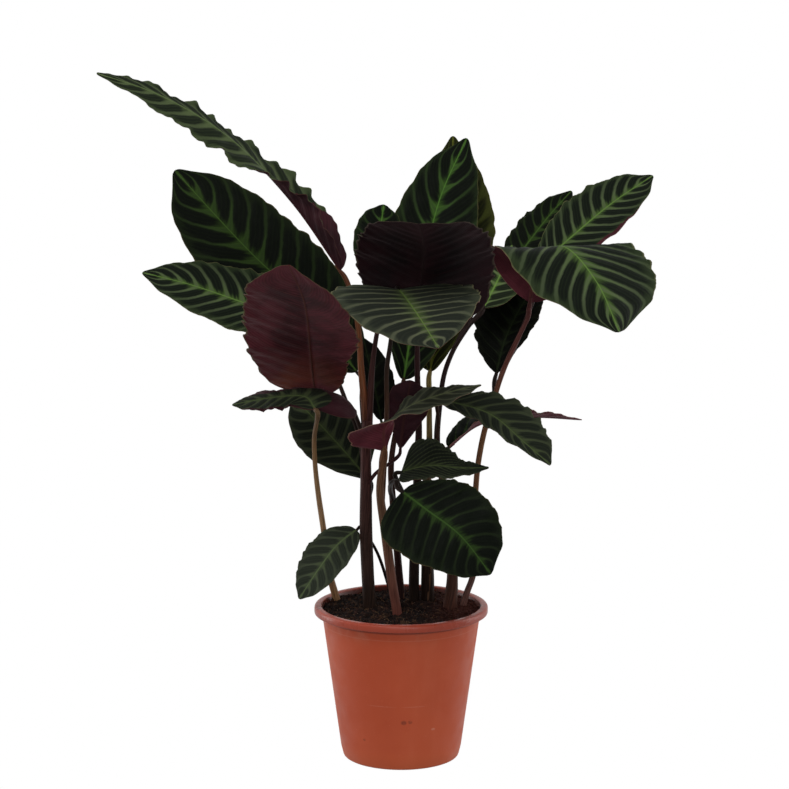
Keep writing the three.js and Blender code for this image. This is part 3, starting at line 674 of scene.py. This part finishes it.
def blade_piece(node, leaf, draw):
    spine = Route(leaf["midrib"])
    rows = max(int(spine.length / BLADE["row_step"]), 40)
    even = np.linspace(0, 1, rows + 1)
    crowded = (1 - np.cos(np.pi * even)) / 2
    u = even + BLADE["crowding"] * (crowded - even)
    middle, half = blade_surface(leaf, spine, u, COLUMNS, ragged_margin(u, draw))
    normals = unit(np.cross(np.gradient(middle, axis=1), np.gradient(middle, axis=0)))
    run, across = u[:, None], COLUMNS[None, :]
    out = np.abs(across)
    reach = out * half
    midrib_width = BLADE["midrib_width"] - BLADE["midrib_taper"] * run
    near_midrib = np.exp(-((reach / midrib_width) ** 2))
    veins = vein_place(leaf, run, across)
    on_vein = np.exp(-((np.abs(veins - np.round(veins)) / BLADE["vein_width"]) ** 2))
    on_vein = on_vein * smoothstep(reach, 1, 4) * (1 - 0.8 * out)
    thinning = (BLADE["thickness"] - BLADE["edge_thickness"]) * smoothstep(out, 0.75, 1)
    body = BLADE["thickness"] - thinning
    groove = BLADE["midrib_groove"] * near_midrib * (1 - run)
    ridge = (BLADE["midrib_depth"] * (1 - run) + 0.25) * near_midrib
    ridge = ridge + BLADE["vein_height"] * on_vein
    top = middle + normals * (body / 2 - groove)[..., None]
    bottom = middle - normals * (body / 2 + ridge)[..., None]
    columns = len(COLUMNS)
    layer = (rows + 1) * columns
    near = (np.arange(rows)[:, None] * columns + np.arange(columns - 1)[None, :]).ravel()
    upper = np.stack([near, near + 1, near + 1 + columns, near + columns], axis=1)
    rim = np.concatenate([
        np.arange(columns - 1),
        np.arange(rows) * columns + columns - 1,
        rows * columns + np.arange(columns - 1, 0, -1),
        np.arange(rows, 0, -1) * columns,
    ])
    onward = np.roll(rim, -1)
    edge = np.stack([rim, rim + layer, onward + layer, onward], axis=1)
    faces = np.concatenate([upper, upper[:, ::-1] + layer, edge])
    points = np.concatenate([top.reshape(-1, 3), bottom.reshape(-1, 3)])
    piece = new_mesh(node.replace("blade", "leaf"), points, faces)
    marks = np.stack(np.broadcast_arrays(veins, across, run), axis=-1)
    attribute(piece, "leaf", "FLOAT_VECTOR", np.concatenate([marks.reshape(-1, 3)] * 2))
    attribute(piece, "reach", "FLOAT", np.concatenate([reach.ravel()] * 2))
    for material in (leaf["top"], leaf["under"]):
        piece.data.materials.append(MATERIALS[material])
    slots = np.ones(len(piece.data.polygons), int)
    slots[:len(upper)] = wine_faces(leaf, u)
    piece.data.polygons.foreach_set("material_index", slots)
    place(piece, node)


# -------- stalks


def stalk_route(stalk):
    """A stalk's own points, then on into the root of its blade's midrib."""
    points = [np.array(point, float) for point in stalk["points"]]
    if "blade" in stalk:
        leaf = LEAVES[stalk["blade"]]
        spine = Route(leaf["midrib"])
        base, forward = spine.at([0])[0], spine.tangent([0])[0]
        up = np.array(leaf["face"][0], float)
        up = unit(up - forward * np.dot(up, forward))
        for ahead, below in ((-8, 0.6), (-0.5, 1.3), (9, 1.9)):
            points.append(base + ahead * forward - below * up)
    return Route(points)


def tube(route, radii, sides, draw, joint, sheath):
    """Rings round a route: a rolled sheath low down, a swollen joint under the blade."""
    rings = max(int(route.length / STALK["ring_step"]), 8)
    u = np.linspace(0, 1, rings + 1)
    forward = route.tangent(u)
    side = np.zeros_like(forward)
    start = np.array([0.0, 1.0, 0.0]) if abs(forward[0][1]) < 0.9 else np.array([1.0, 0.0, 0.0])
    for ring in range(rings + 1):
        start = unit(start - forward[ring] * np.dot(start, forward[ring]))
        side[ring] = start
    other = np.cross(forward, side)
    left = (1 - u) * route.length
    radius, swell = along(radii, u), 1
    if joint:
        for below, reach, wider in (STALK["joint"], STALK["neck"]):
            swell = swell + wider * np.exp(-(((left - below) / reach) ** 2))
        radius = radius * swell * (0.35 + 0.65 * smoothstep(left, 0, 12))
    u = u[:, None]
    angle = np.linspace(0, 2 * np.pi, sides, endpoint=False)[None, :]
    turn = draw.random() * 2 * np.pi + 1.2 * u * route.length / 100
    wrap = np.mod((angle - turn) / (2 * np.pi), 1)
    overlap = sheath * (smoothstep(wrap, 0, 0.04) - wrap)
    wander = 0.02 * np.sin(angle * 2 + 9 * u + turn) + 0.012 * np.sin(angle * 5 + turn)
    grown = radius[:, None] * (1 + overlap * (1 - smoothstep(u, 0.5, 0.9)) + wander)
    points = (
        route.at(u[:, 0])[:, None, :]
        + side[:, None, :] * (grown * np.cos(angle))[..., None]
        + other[:, None, :] * (grown * np.sin(angle))[..., None]
    ).reshape(-1, 3)
    caps = [list(range(sides))[::-1], list(range(rings * sides, (rings + 1) * sides))]
    marks = np.stack(np.broadcast_arrays(u, wrap, route.length * u / 100), axis=-1)
    return points, bands(rings + 1, sides) + caps, marks.reshape(-1, 3)


def stalk_piece(node, stalks, draw):
    points, faces, marks, tones = [], [], [], []
    start = 0
    for number, stalk in enumerate(stalks):
        thick = max(stalk["radii"]) > STALK["thick"]
        sides = STALK["thick_sides"] if thick else STALK["thin_sides"]
        sheath = STALK["stalk_sheath"] if number else STALK["stem_sheath"]
        made = tube(stalk_route(stalk), stalk["radii"], sides, draw, "blade" in stalk, sheath)
        points.append(made[0])
        faces += [[corner + start for corner in face] for face in made[1]]
        marks.append(made[2])
        start += len(made[0])
        palette = np.array([tone(*colour) for colour in stalk["tones"]])
        tones.append(along(palette, made[2][:, 0]))
    piece = new_mesh(node, np.concatenate(points), faces)
    attribute(piece, "stalk", "FLOAT_VECTOR", np.concatenate(marks))
    attribute(piece, "tone", "FLOAT_COLOR", np.concatenate(tones))
    piece.data.materials.append(MATERIALS["stalk"])
    place(piece, node)


# -------- materials

MATERIALS = {}


def tone(red, green, blue, gain=GAIN):
    """A surface colour from the 0 to 255 tone that it shows in soft light."""
    share = np.array([red, green, blue]) / 255
    linear = np.where(share <= 0.04045, share / 12.92, ((share + 0.055) / 1.055) ** 2.4)
    return [*np.minimum(linear * gain, 1).tolist(), 1]


class Shading:
    """A material with one Principled shader, and short calls for the nodes that feed it.

    base is its colour so far, and lay() puts one more colour over it.
    """

    def __init__(self, name, roughness, specular, sheen=0, sheen_tint=(1, 1, 1, 1)):
        material = bpy.data.materials.new(name)
        material.use_nodes = True
        self.tree = material.node_tree
        self.tree.nodes.clear()
        self.shader = self.node("BsdfPrincipled", {
            "Roughness": roughness, "Specular IOR Level": specular,
            "Sheen Weight": sheen, "Sheen Roughness": 0.4, "Sheen Tint": sheen_tint,
        })
        self.node("OutputMaterial", {"Surface": self.shader.outputs["BSDF"]})
        self.base = None
        MATERIALS[name] = material

    def node(self, kind, inputs=None):
        """A new node, with the inputs that are given linked or set by name."""
        made = self.tree.nodes.new("ShaderNode" + kind)
        for name, value in (inputs or {}).items():
            self.feed(made.inputs[name], value)
        return made

    def feed(self, socket, value):
        if isinstance(value, bpy.types.NodeSocket):
            self.tree.links.new(value, socket)
        else:
            socket.default_value = value

    def math(self, operation, *values):
        node = self.node("Math")
        node.operation = operation
        for socket, value in zip(node.inputs, values):
            self.feed(socket, value)
        return node.outputs[0]

    def times(self, one, two):
        return self.math("MULTIPLY", one, two)

    def minus(self, one, two):
        return self.math("SUBTRACT", one, two)

    def linear(self, value, factor, offset):
        return self.math("MULTIPLY_ADD", value, factor, offset)

    def far(self, x, y):
        """Distance of x, y from 0, 0."""
        squares = [self.math("POWER", value, 2.0) for value in (x, y)]
        return self.math("SQRT", self.math("ADD", *squares))

    def step(self, value, low, high, to_low=0.0, to_high=1.0):
        """Smooth step of value between low and high."""
        node = self.node("MapRange", {
            "Value": value, "From Min": low, "From Max": high, "To Min": to_low, "To Max": to_high,
        })
        node.interpolation_type = "SMOOTHSTEP"
        return node.outputs[0]

    def fall(self, value, low, high):
        """Smooth step down: 1 below low, 0 above high."""
        return self.step(value, low, high, 1.0, 0.0)

    def mix(self, factor, one, two):
        node = self.node("Mix")
        node.data_type = "RGBA"
        for socket, value in ((0, factor), (6, one), (7, two)):
            self.feed(node.inputs[socket], value)
        return node.outputs[2]

    def lay(self, mask, colour, strength=1.0, gain=GAIN):
        """Put the tone of a colour over the base, as strongly as the mask says."""
        self.base = self.mix(self.times(mask, strength), self.base, tone(*colour, gain))

    def here(self):
        """Where a point is in the object's own coordinates, in metres."""
        return self.node("TexCoord").outputs["Object"]

    def noise(self, scale, detail, stretch=None, vector=None):
        """Noise from 0 to 1, over the object's own coordinates if no vector is given."""
        vector = vector or self.here()
        if stretch:
            vector = self.node("Mapping", {"Vector": vector, "Scale": stretch}).outputs[0]
        inputs = {"Vector": vector, "Scale": scale, "Detail": detail}
        return self.node("TexNoise", inputs).outputs[0]

    def streaks(self, marks, scales):
        """Noise over a mesh's own marks, finest along the one with the largest scale."""
        combine = self.node("CombineXYZ")
        for socket, mark, scale in zip(combine.inputs, marks, scales):
            self.feed(socket, self.times(mark, scale))
        return self.noise(1.0, 4, vector=combine.outputs[0])

    def read(self, name, output):
        """An attribute that the mesh carries."""
        node = self.node("Attribute")
        node.attribute_name = name
        return node.outputs[output]

    def parts(self, vector):
        return self.node("SeparateXYZ", {"Vector": vector}).outputs

    def dull(self, roughness):
        self.feed(self.shader.inputs["Roughness"], roughness)

    def finish(self, relief, distance, strength=1.0):
        """Give the shader its base colour, and a relief as deep as distance in metres."""
        bump = self.node("Bump", {"Height": relief, "Distance": distance, "Strength": strength})
        self.feed(self.shader.inputs["Normal"], bump.outputs[0])
        self.feed(self.shader.inputs["Base Color"], self.base)


def leaf_marks(shade, minor_veins):
    """What both sides of a blade read.

    near is 1 on a lateral vein and 0 midway. out runs from the midrib to the margin, run from
    the base to the tip. stripes are the minor veins, brush the uneven streaks along them.
    """
    marks = shade.parts(shade.read("leaf", "Vector"))
    veins, across, run = marks
    warped = shade.linear(shade.minus(shade.noise(38, 3), 0.5), 0.3, veins)
    between = shade.math("ABSOLUTE", shade.minus(shade.math("FRACT", warped), 0.5))
    near = shade.times(between, 2.0)
    wave = shade.math("SINE", shade.times(warped, 2 * math.pi * minor_veins))
    stripes = shade.linear(wave, 0.5, 0.5)
    brush = shade.minus(shade.streaks(marks, (7.0, 2.4, 2.0)), 0.5)
    return near, shade.math("ABSOLUTE", across), run, stripes, brush


def midrib_mark(shade, run, width, narrowing, soft):
    """1 on the midrib. Half its width in mm is given at the base, and what it loses up to the tip."""
    limit = shade.linear(run, -narrowing, width)
    return shade.fall(shade.math("DIVIDE", shade.read("reach", "Fac"), limit), soft, 1.1)


def leaf_top(name, dark, ground, feather, vein, margin, rim, spread, lines, fine):
    """Upper side: dark ovals between lateral veins, and a light feather along the midrib.

    spread is how far the feather reaches out along the veins, lines how strongly they show and
    fine, up to 0.95, how thin they are.
    """
    shade = Shading(name, 0.5, 0.028)
    near, out, run, stripes, brush = leaf_marks(shade, 4)
    placed = shade.linear(brush, 0.3, out)
    patchy = shade.step(shade.noise(30, 4), 0.3, 0.7)
    shade.base = shade.mix(patchy, tone(*ground, GAIN * 0.75), tone(*ground, GAIN * 1.3))
    tall = shade.math("DIVIDE", near, 0.95)
    wide = shade.math("DIVIDE", shade.minus(placed, 0.48), 0.46)
    shade.lay(shade.fall(shade.far(tall, wide), 0.72, 1.06), dark)
    shade.lay(shade.math("POWER", stripes, 3.0), ground, 0.3)
    shade.lay(shade.step(placed, 0.76, 1.05), margin, 0.7)
    fan_edge = shade.linear(shade.math("POWER", near, 4.0), 0.55 * spread, 0.04)
    shade.lay(shade.step(shade.minus(fan_edge, placed), -0.1, 0.12), feather, 0.85)
    fade = shade.step(out, 0.2, 1.0, 0.85 * lines, 0.5 * lines)
    shade.lay(shade.step(near, fine - 0.16, 0.5 + 0.5 * fine), vein, fade)
    shade.lay(shade.step(out, 0.972, 0.99), rim, 0.7)
    shade.lay(midrib_mark(shade, run, 1.5, 0.9, 0.5), feather, 0.85, GAIN * 1.5)
    shade.dull(shade.step(shade.noise(90, 3), 0.3, 0.7, 0.42, 0.58))
    shade.finish(shade.linear(stripes, 0.6, shade.noise(420, 3)), 0.00025, 0.7)


def leaf_under(name, ground, light, vein, rim, edges, patch):
    """Under side: a wine colour with a darker or paler midrib and faint lateral veins.

    edges is how far the lighter colour takes over towards the margin. patch is the colour that
    an ageing leaf turns to, in spots near its base.
    """
    shade = Shading(name, 0.55, 0.08, sheen=0.04, sheen_tint=(0.9, 0.6, 0.65, 1))
    near, out, run, stripes, brush = leaf_marks(shade, 5)
    mottle = shade.step(shade.noise(22, 4), 0.34, 0.66)
    mottle = shade.math("MAXIMUM", mottle, shade.step(out, 0.35, 0.95, 0.0, edges))
    shade.base = shade.mix(mottle, tone(*ground), tone(*light))
    shade.lay(shade.math("POWER", stripes, 2.0), ground, 0.4, GAIN * 0.6)
    shade.lay(shade.step(brush, 0.02, 0.2), light, 0.4, GAIN * 1.15)
    if patch:
        spots = shade.step(shade.noise(13, 3), 0.4, 0.62)
        shade.lay(shade.times(spots, shade.fall(run, 0.02, 0.42)), patch, 0.8)
    shade.lay(shade.step(near, 0.86, 0.97), vein, 0.3)
    shade.lay(shade.step(out, 0.965, 0.988), rim, 0.75)
    shade.lay(midrib_mark(shade, run, 2.2, 1.3, 0.6), vein, 0.8, GAIN * 1.1)
    shade.finish(shade.linear(stripes, 0.7, shade.noise(380, 3)), 0.0002, 0.6)


def stalk_material():
    """Stalks: their own tones along their length, streaked, with a pale sheath edge."""
    shade = Shading("stalk", 0.45, 0.07)
    marks = shade.parts(shade.read("stalk", "Vector"))
    length, wrap, _ = marks
    streak = shade.streaks(marks, (0.0, 26.0, 3.0))
    own = shade.read("tone", "Color")
    darker, lighter = (
        shade.node("HueSaturation", {"Color": own, "Value": value}).outputs[0]
        for value in (0.5, 1.65)
    )
    shade.base = shade.mix(shade.step(streak, 0.3, 0.7), darker, lighter)
    edge = shade.times(shade.fall(wrap, 0.03, 0.07), shade.fall(length, 0.5, 0.9))
    shade.lay(edge, (96, 70, 52), 0.5)
    shade.lay(shade.step(shade.noise(900, 2), 0.62, 0.72), (40, 26, 20), 0.25)
    shade.finish(shade.math("ADD", streak, shade.noise(700, 2)), 0.00018, 0.6)


def pot_material():
    """Terracotta-coloured plastic: faint mottling, drawn lines, dusty patches and a few scuffs,
    with painted shade on the rim's inner wall, a painted shadow under the lip and a painted
    highlight at the ledge.
    """
    shade = Shading("pot", 0.4, 0.32, sheen=0.05, sheen_tint=(1, 0.86, 0.82, 1))
    tones = POT_TONES
    sideways, depth, height = shade.parts(shade.here())
    broad = shade.step(shade.noise(9, 4), 0.3, 0.7)
    shade.base = shade.mix(broad, tone(*tones["body"]), tone(*tones["warm"]))
    drawn = shade.noise(30, 3, stretch=(1, 1, 0.08))
    shade.lay(shade.step(drawn, 0.45, 0.75), tones["light"], 0.22)
    shade.lay(shade.step(shade.noise(520, 2), 0.66, 0.74), tones["light"], 0.28)
    shade.lay(shade.fall(height, 0.0, 0.03), tones["foot"], 0.35)
    dusty = shade.step(shade.noise(45, 5), 0.5, 0.75)
    shade.lay(shade.times(shade.step(height, 0.15, 0.19), dusty), tones["dust_and_highlight"], 0.25)
    # painted shadow: a dark band on the wall just under the lip
    shade.lay(shade.step(height, 0.1725, 0.1755), tones["worn"], 0.75)
    lip = shade.step(height, 0.1765, 0.1785)
    shade.lay(lip, tones["lip"])
    # painted shade: the rim's inner wall, above the lip's lower edge, all round
    rim_inside_shade = shade.fall(shade.far(sideways, depth), 0.0956, 0.0966)
    shade.lay(shade.times(lip, rim_inside_shade), tones["rim_inside_shade"])
    # painted highlight: a faint pale line round the pot at the ledge
    ledge = shade.math("ABSOLUTE", shade.minus(height, 0.1655))
    shade.lay(shade.fall(ledge, 0.0003, 0.001), tones["dust_and_highlight"], 0.08)
    front = shade.math("LESS_THAN", depth, 0.0)
    for x, z, wide, tall, strength, mark in SCUFFS:
        across = shade.math("DIVIDE", shade.minus(sideways, x * MM), wide * MM)
        upward = shade.math("DIVIDE", shade.minus(height, z * MM), tall * MM)
        worn = shade.times(shade.fall(shade.far(across, upward), 0.4, 1.0), front)
        broken = shade.step(shade.noise(700, 2), 0.25, 0.5)
        shade.lay(shade.times(worn, broken), tones[mark], strength)
    dullness = shade.step(shade.noise(60, 4), 0.3, 0.7, 0.42, 0.58)
    shade.dull(shade.linear(lip, -0.2, dullness))
    lines = shade.noise(40, 2, stretch=(1, 1, 0.1))
    shade.finish(shade.math("ADD", shade.noise(600, 3), lines), 0.00012, 0.5)


def peat_material(name, dark, light):
    """Peat: dark clods, paler fibres and a few light specks, redder and lighter on the right."""
    shade = Shading(name, 0.95, 0.12)
    clod = shade.step(shade.noise(140, 5), 0.35, 0.65)
    shade.base = shade.mix(clod, tone(*dark), tone(*light))
    fibre = shade.noise(260, 4, stretch=(1, 0.18, 1))
    shade.lay(shade.step(fibre, 0.58, 0.68), (74, 52, 38), 0.5)
    shade.lay(shade.step(shade.noise(700, 1), 0.72, 0.78), (120, 104, 88))
    sideways = shade.parts(shade.here())[0]
    shade.lay(shade.step(sideways, 0.02, 0.08), (64, 32, 27), 0.6)
    shade.finish(shade.noise(380, 5), 0.0012)


# -------- pot


def wall_radius(height):
    share = height / POT["height"]
    return POT["radius_at_foot"] + (POT["radius_at_top"] - POT["radius_at_foot"]) * share


def circle(radius, height, sides):
    angles = np.linspace(0, 2 * np.pi, sides, endpoint=False)
    level = np.full(sides, height)
    return np.column_stack([radius * np.cos(angles), radius * np.sin(angles), level])


def turned(name, rings, low, high):
    """A closed mesh from rings round the Z axis and a point on it at either end."""
    sides = len(rings[0])
    spot = np.arange(sides)
    after = (spot + 1) % sides
    last = 2 + (len(rings) - 1) * sides
    ends = [(0 * spot, 2 + after, 2 + spot), (0 * spot + 1, last + spot, last + after)]
    faces = np.concatenate([np.stack(end, axis=1) for end in ends]).tolist()
    points = np.concatenate([[[0, 0, low], [0, 0, high]], *rings])
    return new_mesh(name, points, faces + bands(len(rings), sides, 2))


def rounded(corners, steps=5):
    """A profile with corners given as (radius, height, rounding): each is cut by an arc."""
    points = []
    places = np.array([corner[:2] for corner in corners], float)
    for number, here in enumerate(places):
        turn = corners[number][2]
        if turn == 0:
            points.append(here)
            continue
        start = here + unit(places[number - 1] - here) * turn
        end = here + unit(places[number + 1] - here) * turn
        for share in np.linspace(0, 1, steps):
            arc = start * (1 - share) ** 2 + 2 * here * share * (1 - share) + end * share**2
            points.append(arc)
    return points


def pot_piece():
    foot = POT["height"] - POT["lip_height"]
    under = POT["height"] - POT["flange"]
    corner, flat, floor = POT["corner_height"], POT["flat_radius"], POT["floor"]
    lip, thin = POT["lip_radius"], POT["wall"]
    top_inside = wall_radius(POT["height"]) - thin
    profile = rounded([
        (flat - 1.5, 0, 0),
        (wall_radius(corner) - 2.4, 0.2, 2.6),
        (wall_radius(corner + 6), corner + 6, 0),
        *((wall_radius(height), height, 0) for height in range(20, 172, 8)),
        (wall_radius(foot - 1), foot - 1, 0),
        (wall_radius(under), under, 0),
        (lip - POT["skirt"], under, 0),
        (lip - POT["skirt"], foot + 0.6, 0.3),
        (lip - 0.1, foot + 0.2, 1.4),
        (lip, foot + 4, 0),
        (lip, POT["height"], 3.8),
        (top_inside + 0.6, POT["height"], 1.6),
        (top_inside, POT["height"] - 3, 0),
        (wall_radius(under - 2) - thin, under - 2, 0),
        (wall_radius(corner + 4) - thin, corner + 4, 0),
        (flat - thin, floor, 2.5),
        (flat - 8, floor, 0),
    ])
    rings = [circle(*point, POT["sides"]) for point in profile]
    piece = turned("nursery_pot", rings, 0, floor)
    drills = bmesh.new()
    radius = POT["drain_radius"] * MM
    for hole in circle(POT["drain_ring"] * MM, 0, POT["drain_holes"]):
        made = bmesh.ops.create_cone(
            drills, cap_ends=True, segments=36, radius1=radius, radius2=radius,
            depth=4 * floor * MM,
        )
        bmesh.ops.translate(drills, verts=made["verts"], vec=hole)
    mesh = bpy.data.meshes.new("drills")
    drills.to_mesh(mesh)
    drills.free()
    cutter = bpy.data.objects.new("drills", mesh)
    bpy.context.scene.collection.objects.link(cutter)
    cut = piece.modifiers.new("drain holes", "BOOLEAN")
    cut.object = cutter
    cut.solver = "EXACT"
    drilled = piece.evaluated_get(bpy.context.evaluated_depsgraph_get())
    mesh = bpy.data.meshes.new_from_object(drilled)
    piece.modifiers.clear()
    piece.data = mesh
    bpy.data.objects.remove(cutter)
    piece.data.materials.clear()
    piece.data.materials.append(MATERIALS["pot"])
    place(piece, "pot")


# -------- peat

# waves over the peat: direction, length and height
PEAT_WAVES = ((0.3, 31, 0.9), (1.4, 23, 0.8), (2.3, 13, 0.6), (0.9, 8.5, 0.5), (2.9, 5.7, 0.45))


def peat_top(x, y, edge):
    """Height of the peat: highest in the middle, with a few crossed waves."""
    height = PEAT["level"] + PEAT["crown"] * (1 - (x**2 + y**2) / edge**2)
    for number, (turn, length, size) in enumerate(PEAT_WAVES):
        ahead = (x * math.cos(turn) + y * math.sin(turn)) / length
        aside = (y * math.cos(turn) - x * math.sin(turn)) / (length * 1.6)
        bent = 2 * np.pi * ahead + 1.7 * np.sin(2 * np.pi * aside)
        height = height + size * np.sin(bent + number)
    return height


def peat_piece(draw):
    gap = POT["wall"] + PEAT["clearance"]
    edge = wall_radius(PEAT["level"]) - gap
    knee = POT["corner_height"] + POT["floor"]
    floor = POT["floor"] + PEAT["clearance"]
    sides = PEAT["sides"]
    rings = [
        circle(POT["flat_radius"] - gap, floor, sides),
        circle(wall_radius(knee) - gap, knee + PEAT["clearance"], sides),
        circle(edge, PEAT["level"] - 2, sides),
    ]
    for share in 1 - np.arange(PEAT["rings"]) / PEAT["rings"]:
        ring = circle(edge * share, 0.0, sides)
        grain = draw.normal(0, PEAT["grain"], sides)
        ring[:, 2] = peat_top(ring[:, 0], ring[:, 1], edge) + grain
        rings.append(ring)
    piece = turned("peat", rings, floor, PEAT["level"] + PEAT["crown"])
    piece.data.materials.append(MATERIALS["peat"])
    place(piece, "soil")


def scattered(edge, draw):
    """A random place on a disc."""
    radius, angle = edge * math.sqrt(draw.random()), 2 * math.pi * draw.random()
    return np.array([radius * math.cos(angle), radius * math.sin(angle)])


def loose(name, points, faces, smooth):
    """A piece that lies on the peat and stands for no node."""
    piece = new_mesh(name, points, faces, smooth)
    piece.data.materials.append(MATERIALS[name])
    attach(piece, "root")


def crumb_piece(edge, draw):
    lump = bmesh.new()
    bmesh.ops.create_icosphere(lump, subdivisions=1, radius=1)
    shape = np.array([vertex.co[:] for vertex in lump.verts])
    sides = np.array([[vertex.index for vertex in face.verts] for face in lump.faces])
    lump.free()
    points, faces = [], []
    for _ in range(PEAT["crumbs"]):
        x, y = scattered(edge, draw)
        kind = "small_radius" if draw.random() < PEAT["small_share"] else "large_radius"
        size = draw.uniform(*PEAT[kind])
        body = shape * size * draw.uniform(0.6, 1.15, 3) * draw.uniform(0.8, 1.2, (len(shape), 1))
        faces += (sides + len(points)).tolist()
        points += (body + [x, y, peat_top(x, y, edge) + 0.15 * size]).tolist()
    loose("peat_crumbs", points, faces, smooth=False)


def fibre_piece(edge, draw):
    """Short fibres: bent lines of six points, each with four corners round it."""
    angles = np.arange(4)[:, None] * math.pi / 2
    points, faces = [], []
    for _ in range(PEAT["fibres"]):
        start = scattered(edge * 0.96, draw)
        turn, length = draw.uniform(0, 2 * math.pi), draw.uniform(*PEAT["fibre_length"])
        turns = turn + draw.uniform(-PEAT["fibre_turn"], PEAT["fibre_turn"]) * np.arange(6)
        moves = length / 5 * np.column_stack([np.cos(turns), np.sin(turns)])
        line = start + np.cumsum(moves, axis=0) - moves
        line *= np.minimum(1, edge / np.maximum(np.linalg.norm(line, axis=1), 1e-6))[:, None]
        route = np.column_stack([line, peat_top(*line.T, edge) + 0.9])
        thick = np.array([0.5, 1, 1, 1, 1, 0.5])[:, None, None]
        thick = thick * draw.uniform(*PEAT["fibre_radius"])
        ahead = np.gradient(route, axis=0)
        side = unit(np.column_stack([-ahead[:, 1], ahead[:, 0], np.zeros(6)]))[:, None]
        corners = side * np.cos(angles) + np.array([0, 0, 1]) * np.sin(angles)
        first = len(points)
        points += (route[:, None] + thick * corners).reshape(-1, 3).tolist()
        faces += bands(6, 4, first)
        faces += [list(range(first + 3, first - 1, -1)), list(range(first + 20, first + 24))]
    loose("peat_fibres", points, faces, smooth=True)


# -------- studio


def white_stage(piece, name):
    """A stage piece that the camera sees as white but that lights nothing."""
    piece.name = name
    material = bpy.data.materials.new("white " + name)
    material.use_nodes = True
    tree = material.node_tree
    tree.nodes.clear()
    output = tree.nodes.new("ShaderNodeOutputMaterial")
    light = tree.nodes.new("ShaderNodeEmission")
    light.inputs["Color"].default_value = (1, 1, 1, 1)
    light.inputs["Strength"].default_value = 1.0
    tree.links.new(light.outputs[0], output.inputs["Surface"])
    piece.data.materials.append(material)
    piece.visible_diffuse = False
    piece.visible_glossy = False
    piece.visible_transmission = False
    piece.visible_shadow = False


def studio():
    bpy.ops.mesh.primitive_circle_add(
        vertices=96, radius=FLOOR_RADIUS, fill_type="NGON", location=(0, 0, FLOOR_HEIGHT)
    )
    white_stage(bpy.context.object, "floor")
    bpy.ops.mesh.primitive_uv_sphere_add(segments=96, ring_count=48, radius=BACKDROP_RADIUS)
    white_stage(bpy.context.object, "backdrop")
    scene = bpy.context.scene
    scene.view_settings.view_transform = "Standard"
    scene.world = bpy.data.worlds.new("studio")
    scene.world.use_nodes = True
    tree = scene.world.node_tree
    background = tree.nodes["Background"]
    background.inputs["Color"].default_value = (1, 1, 1, 1)
    glossy = tree.nodes.new("ShaderNodeLightPath").outputs["Is Glossy Ray"]
    level = tree.nodes.new("ShaderNodeMapRange")
    level.inputs["To Min"].default_value = WORLD_LEVEL
    level.inputs["To Max"].default_value = WORLD_REFLECTED
    tree.links.new(glossy, level.inputs["Value"])
    tree.links.new(level.outputs[0], background.inputs["Strength"])
    for name, (position, aim, size, power) in LIGHTS.items():
        light = bpy.data.lights.new(name, "AREA")
        light.shape = "RECTANGLE"
        light.size, light.size_y = size
        light.energy = power
        lamp = bpy.data.objects.new(name, light)
        scene.collection.objects.link(lamp)
        lamp.location = position
        direction = Vector(aim) - Vector(position)
        lamp.rotation_euler = direction.to_track_quat("-Z", "Y").to_euler()
    camera = bpy.data.objects.new("camera", bpy.data.cameras.new("camera"))
    camera.data.sensor_width = SENSOR
    camera.data.lens = FOCAL_PIXELS / PICTURE * SENSOR
    camera.data.clip_end = 200
    camera.location = [value * MM for value in CAMERA]
    camera.rotation_euler = (math.radians(90 - CAMERA_DOWN), 0, 0)
    scene.collection.objects.link(camera)
    scene.camera = camera


# -------- assembly

pot_material()
stalk_material()
for name, tones in PEAT_TONES.items():
    peat_material(name, *tones)
for name, colours in TOPS.items():
    leaf_top(name, *colours)
for name, colours in UNDERS.items():
    leaf_under(name, *colours)

draw = np.random.default_rng(SEED)
loose_edge = wall_radius(PEAT["level"]) - POT["wall"] - PEAT["loose_gap"]
pot_piece()
peat_piece(draw)
crumb_piece(loose_edge, draw)
fibre_piece(loose_edge, draw)
for node, stalks in CLUMPS.items():
    stalk_piece(node, stalks, draw)
for node, leaf in LEAVES.items():
    blade_piece(node, {**USUAL, **leaf}, draw)
studio()
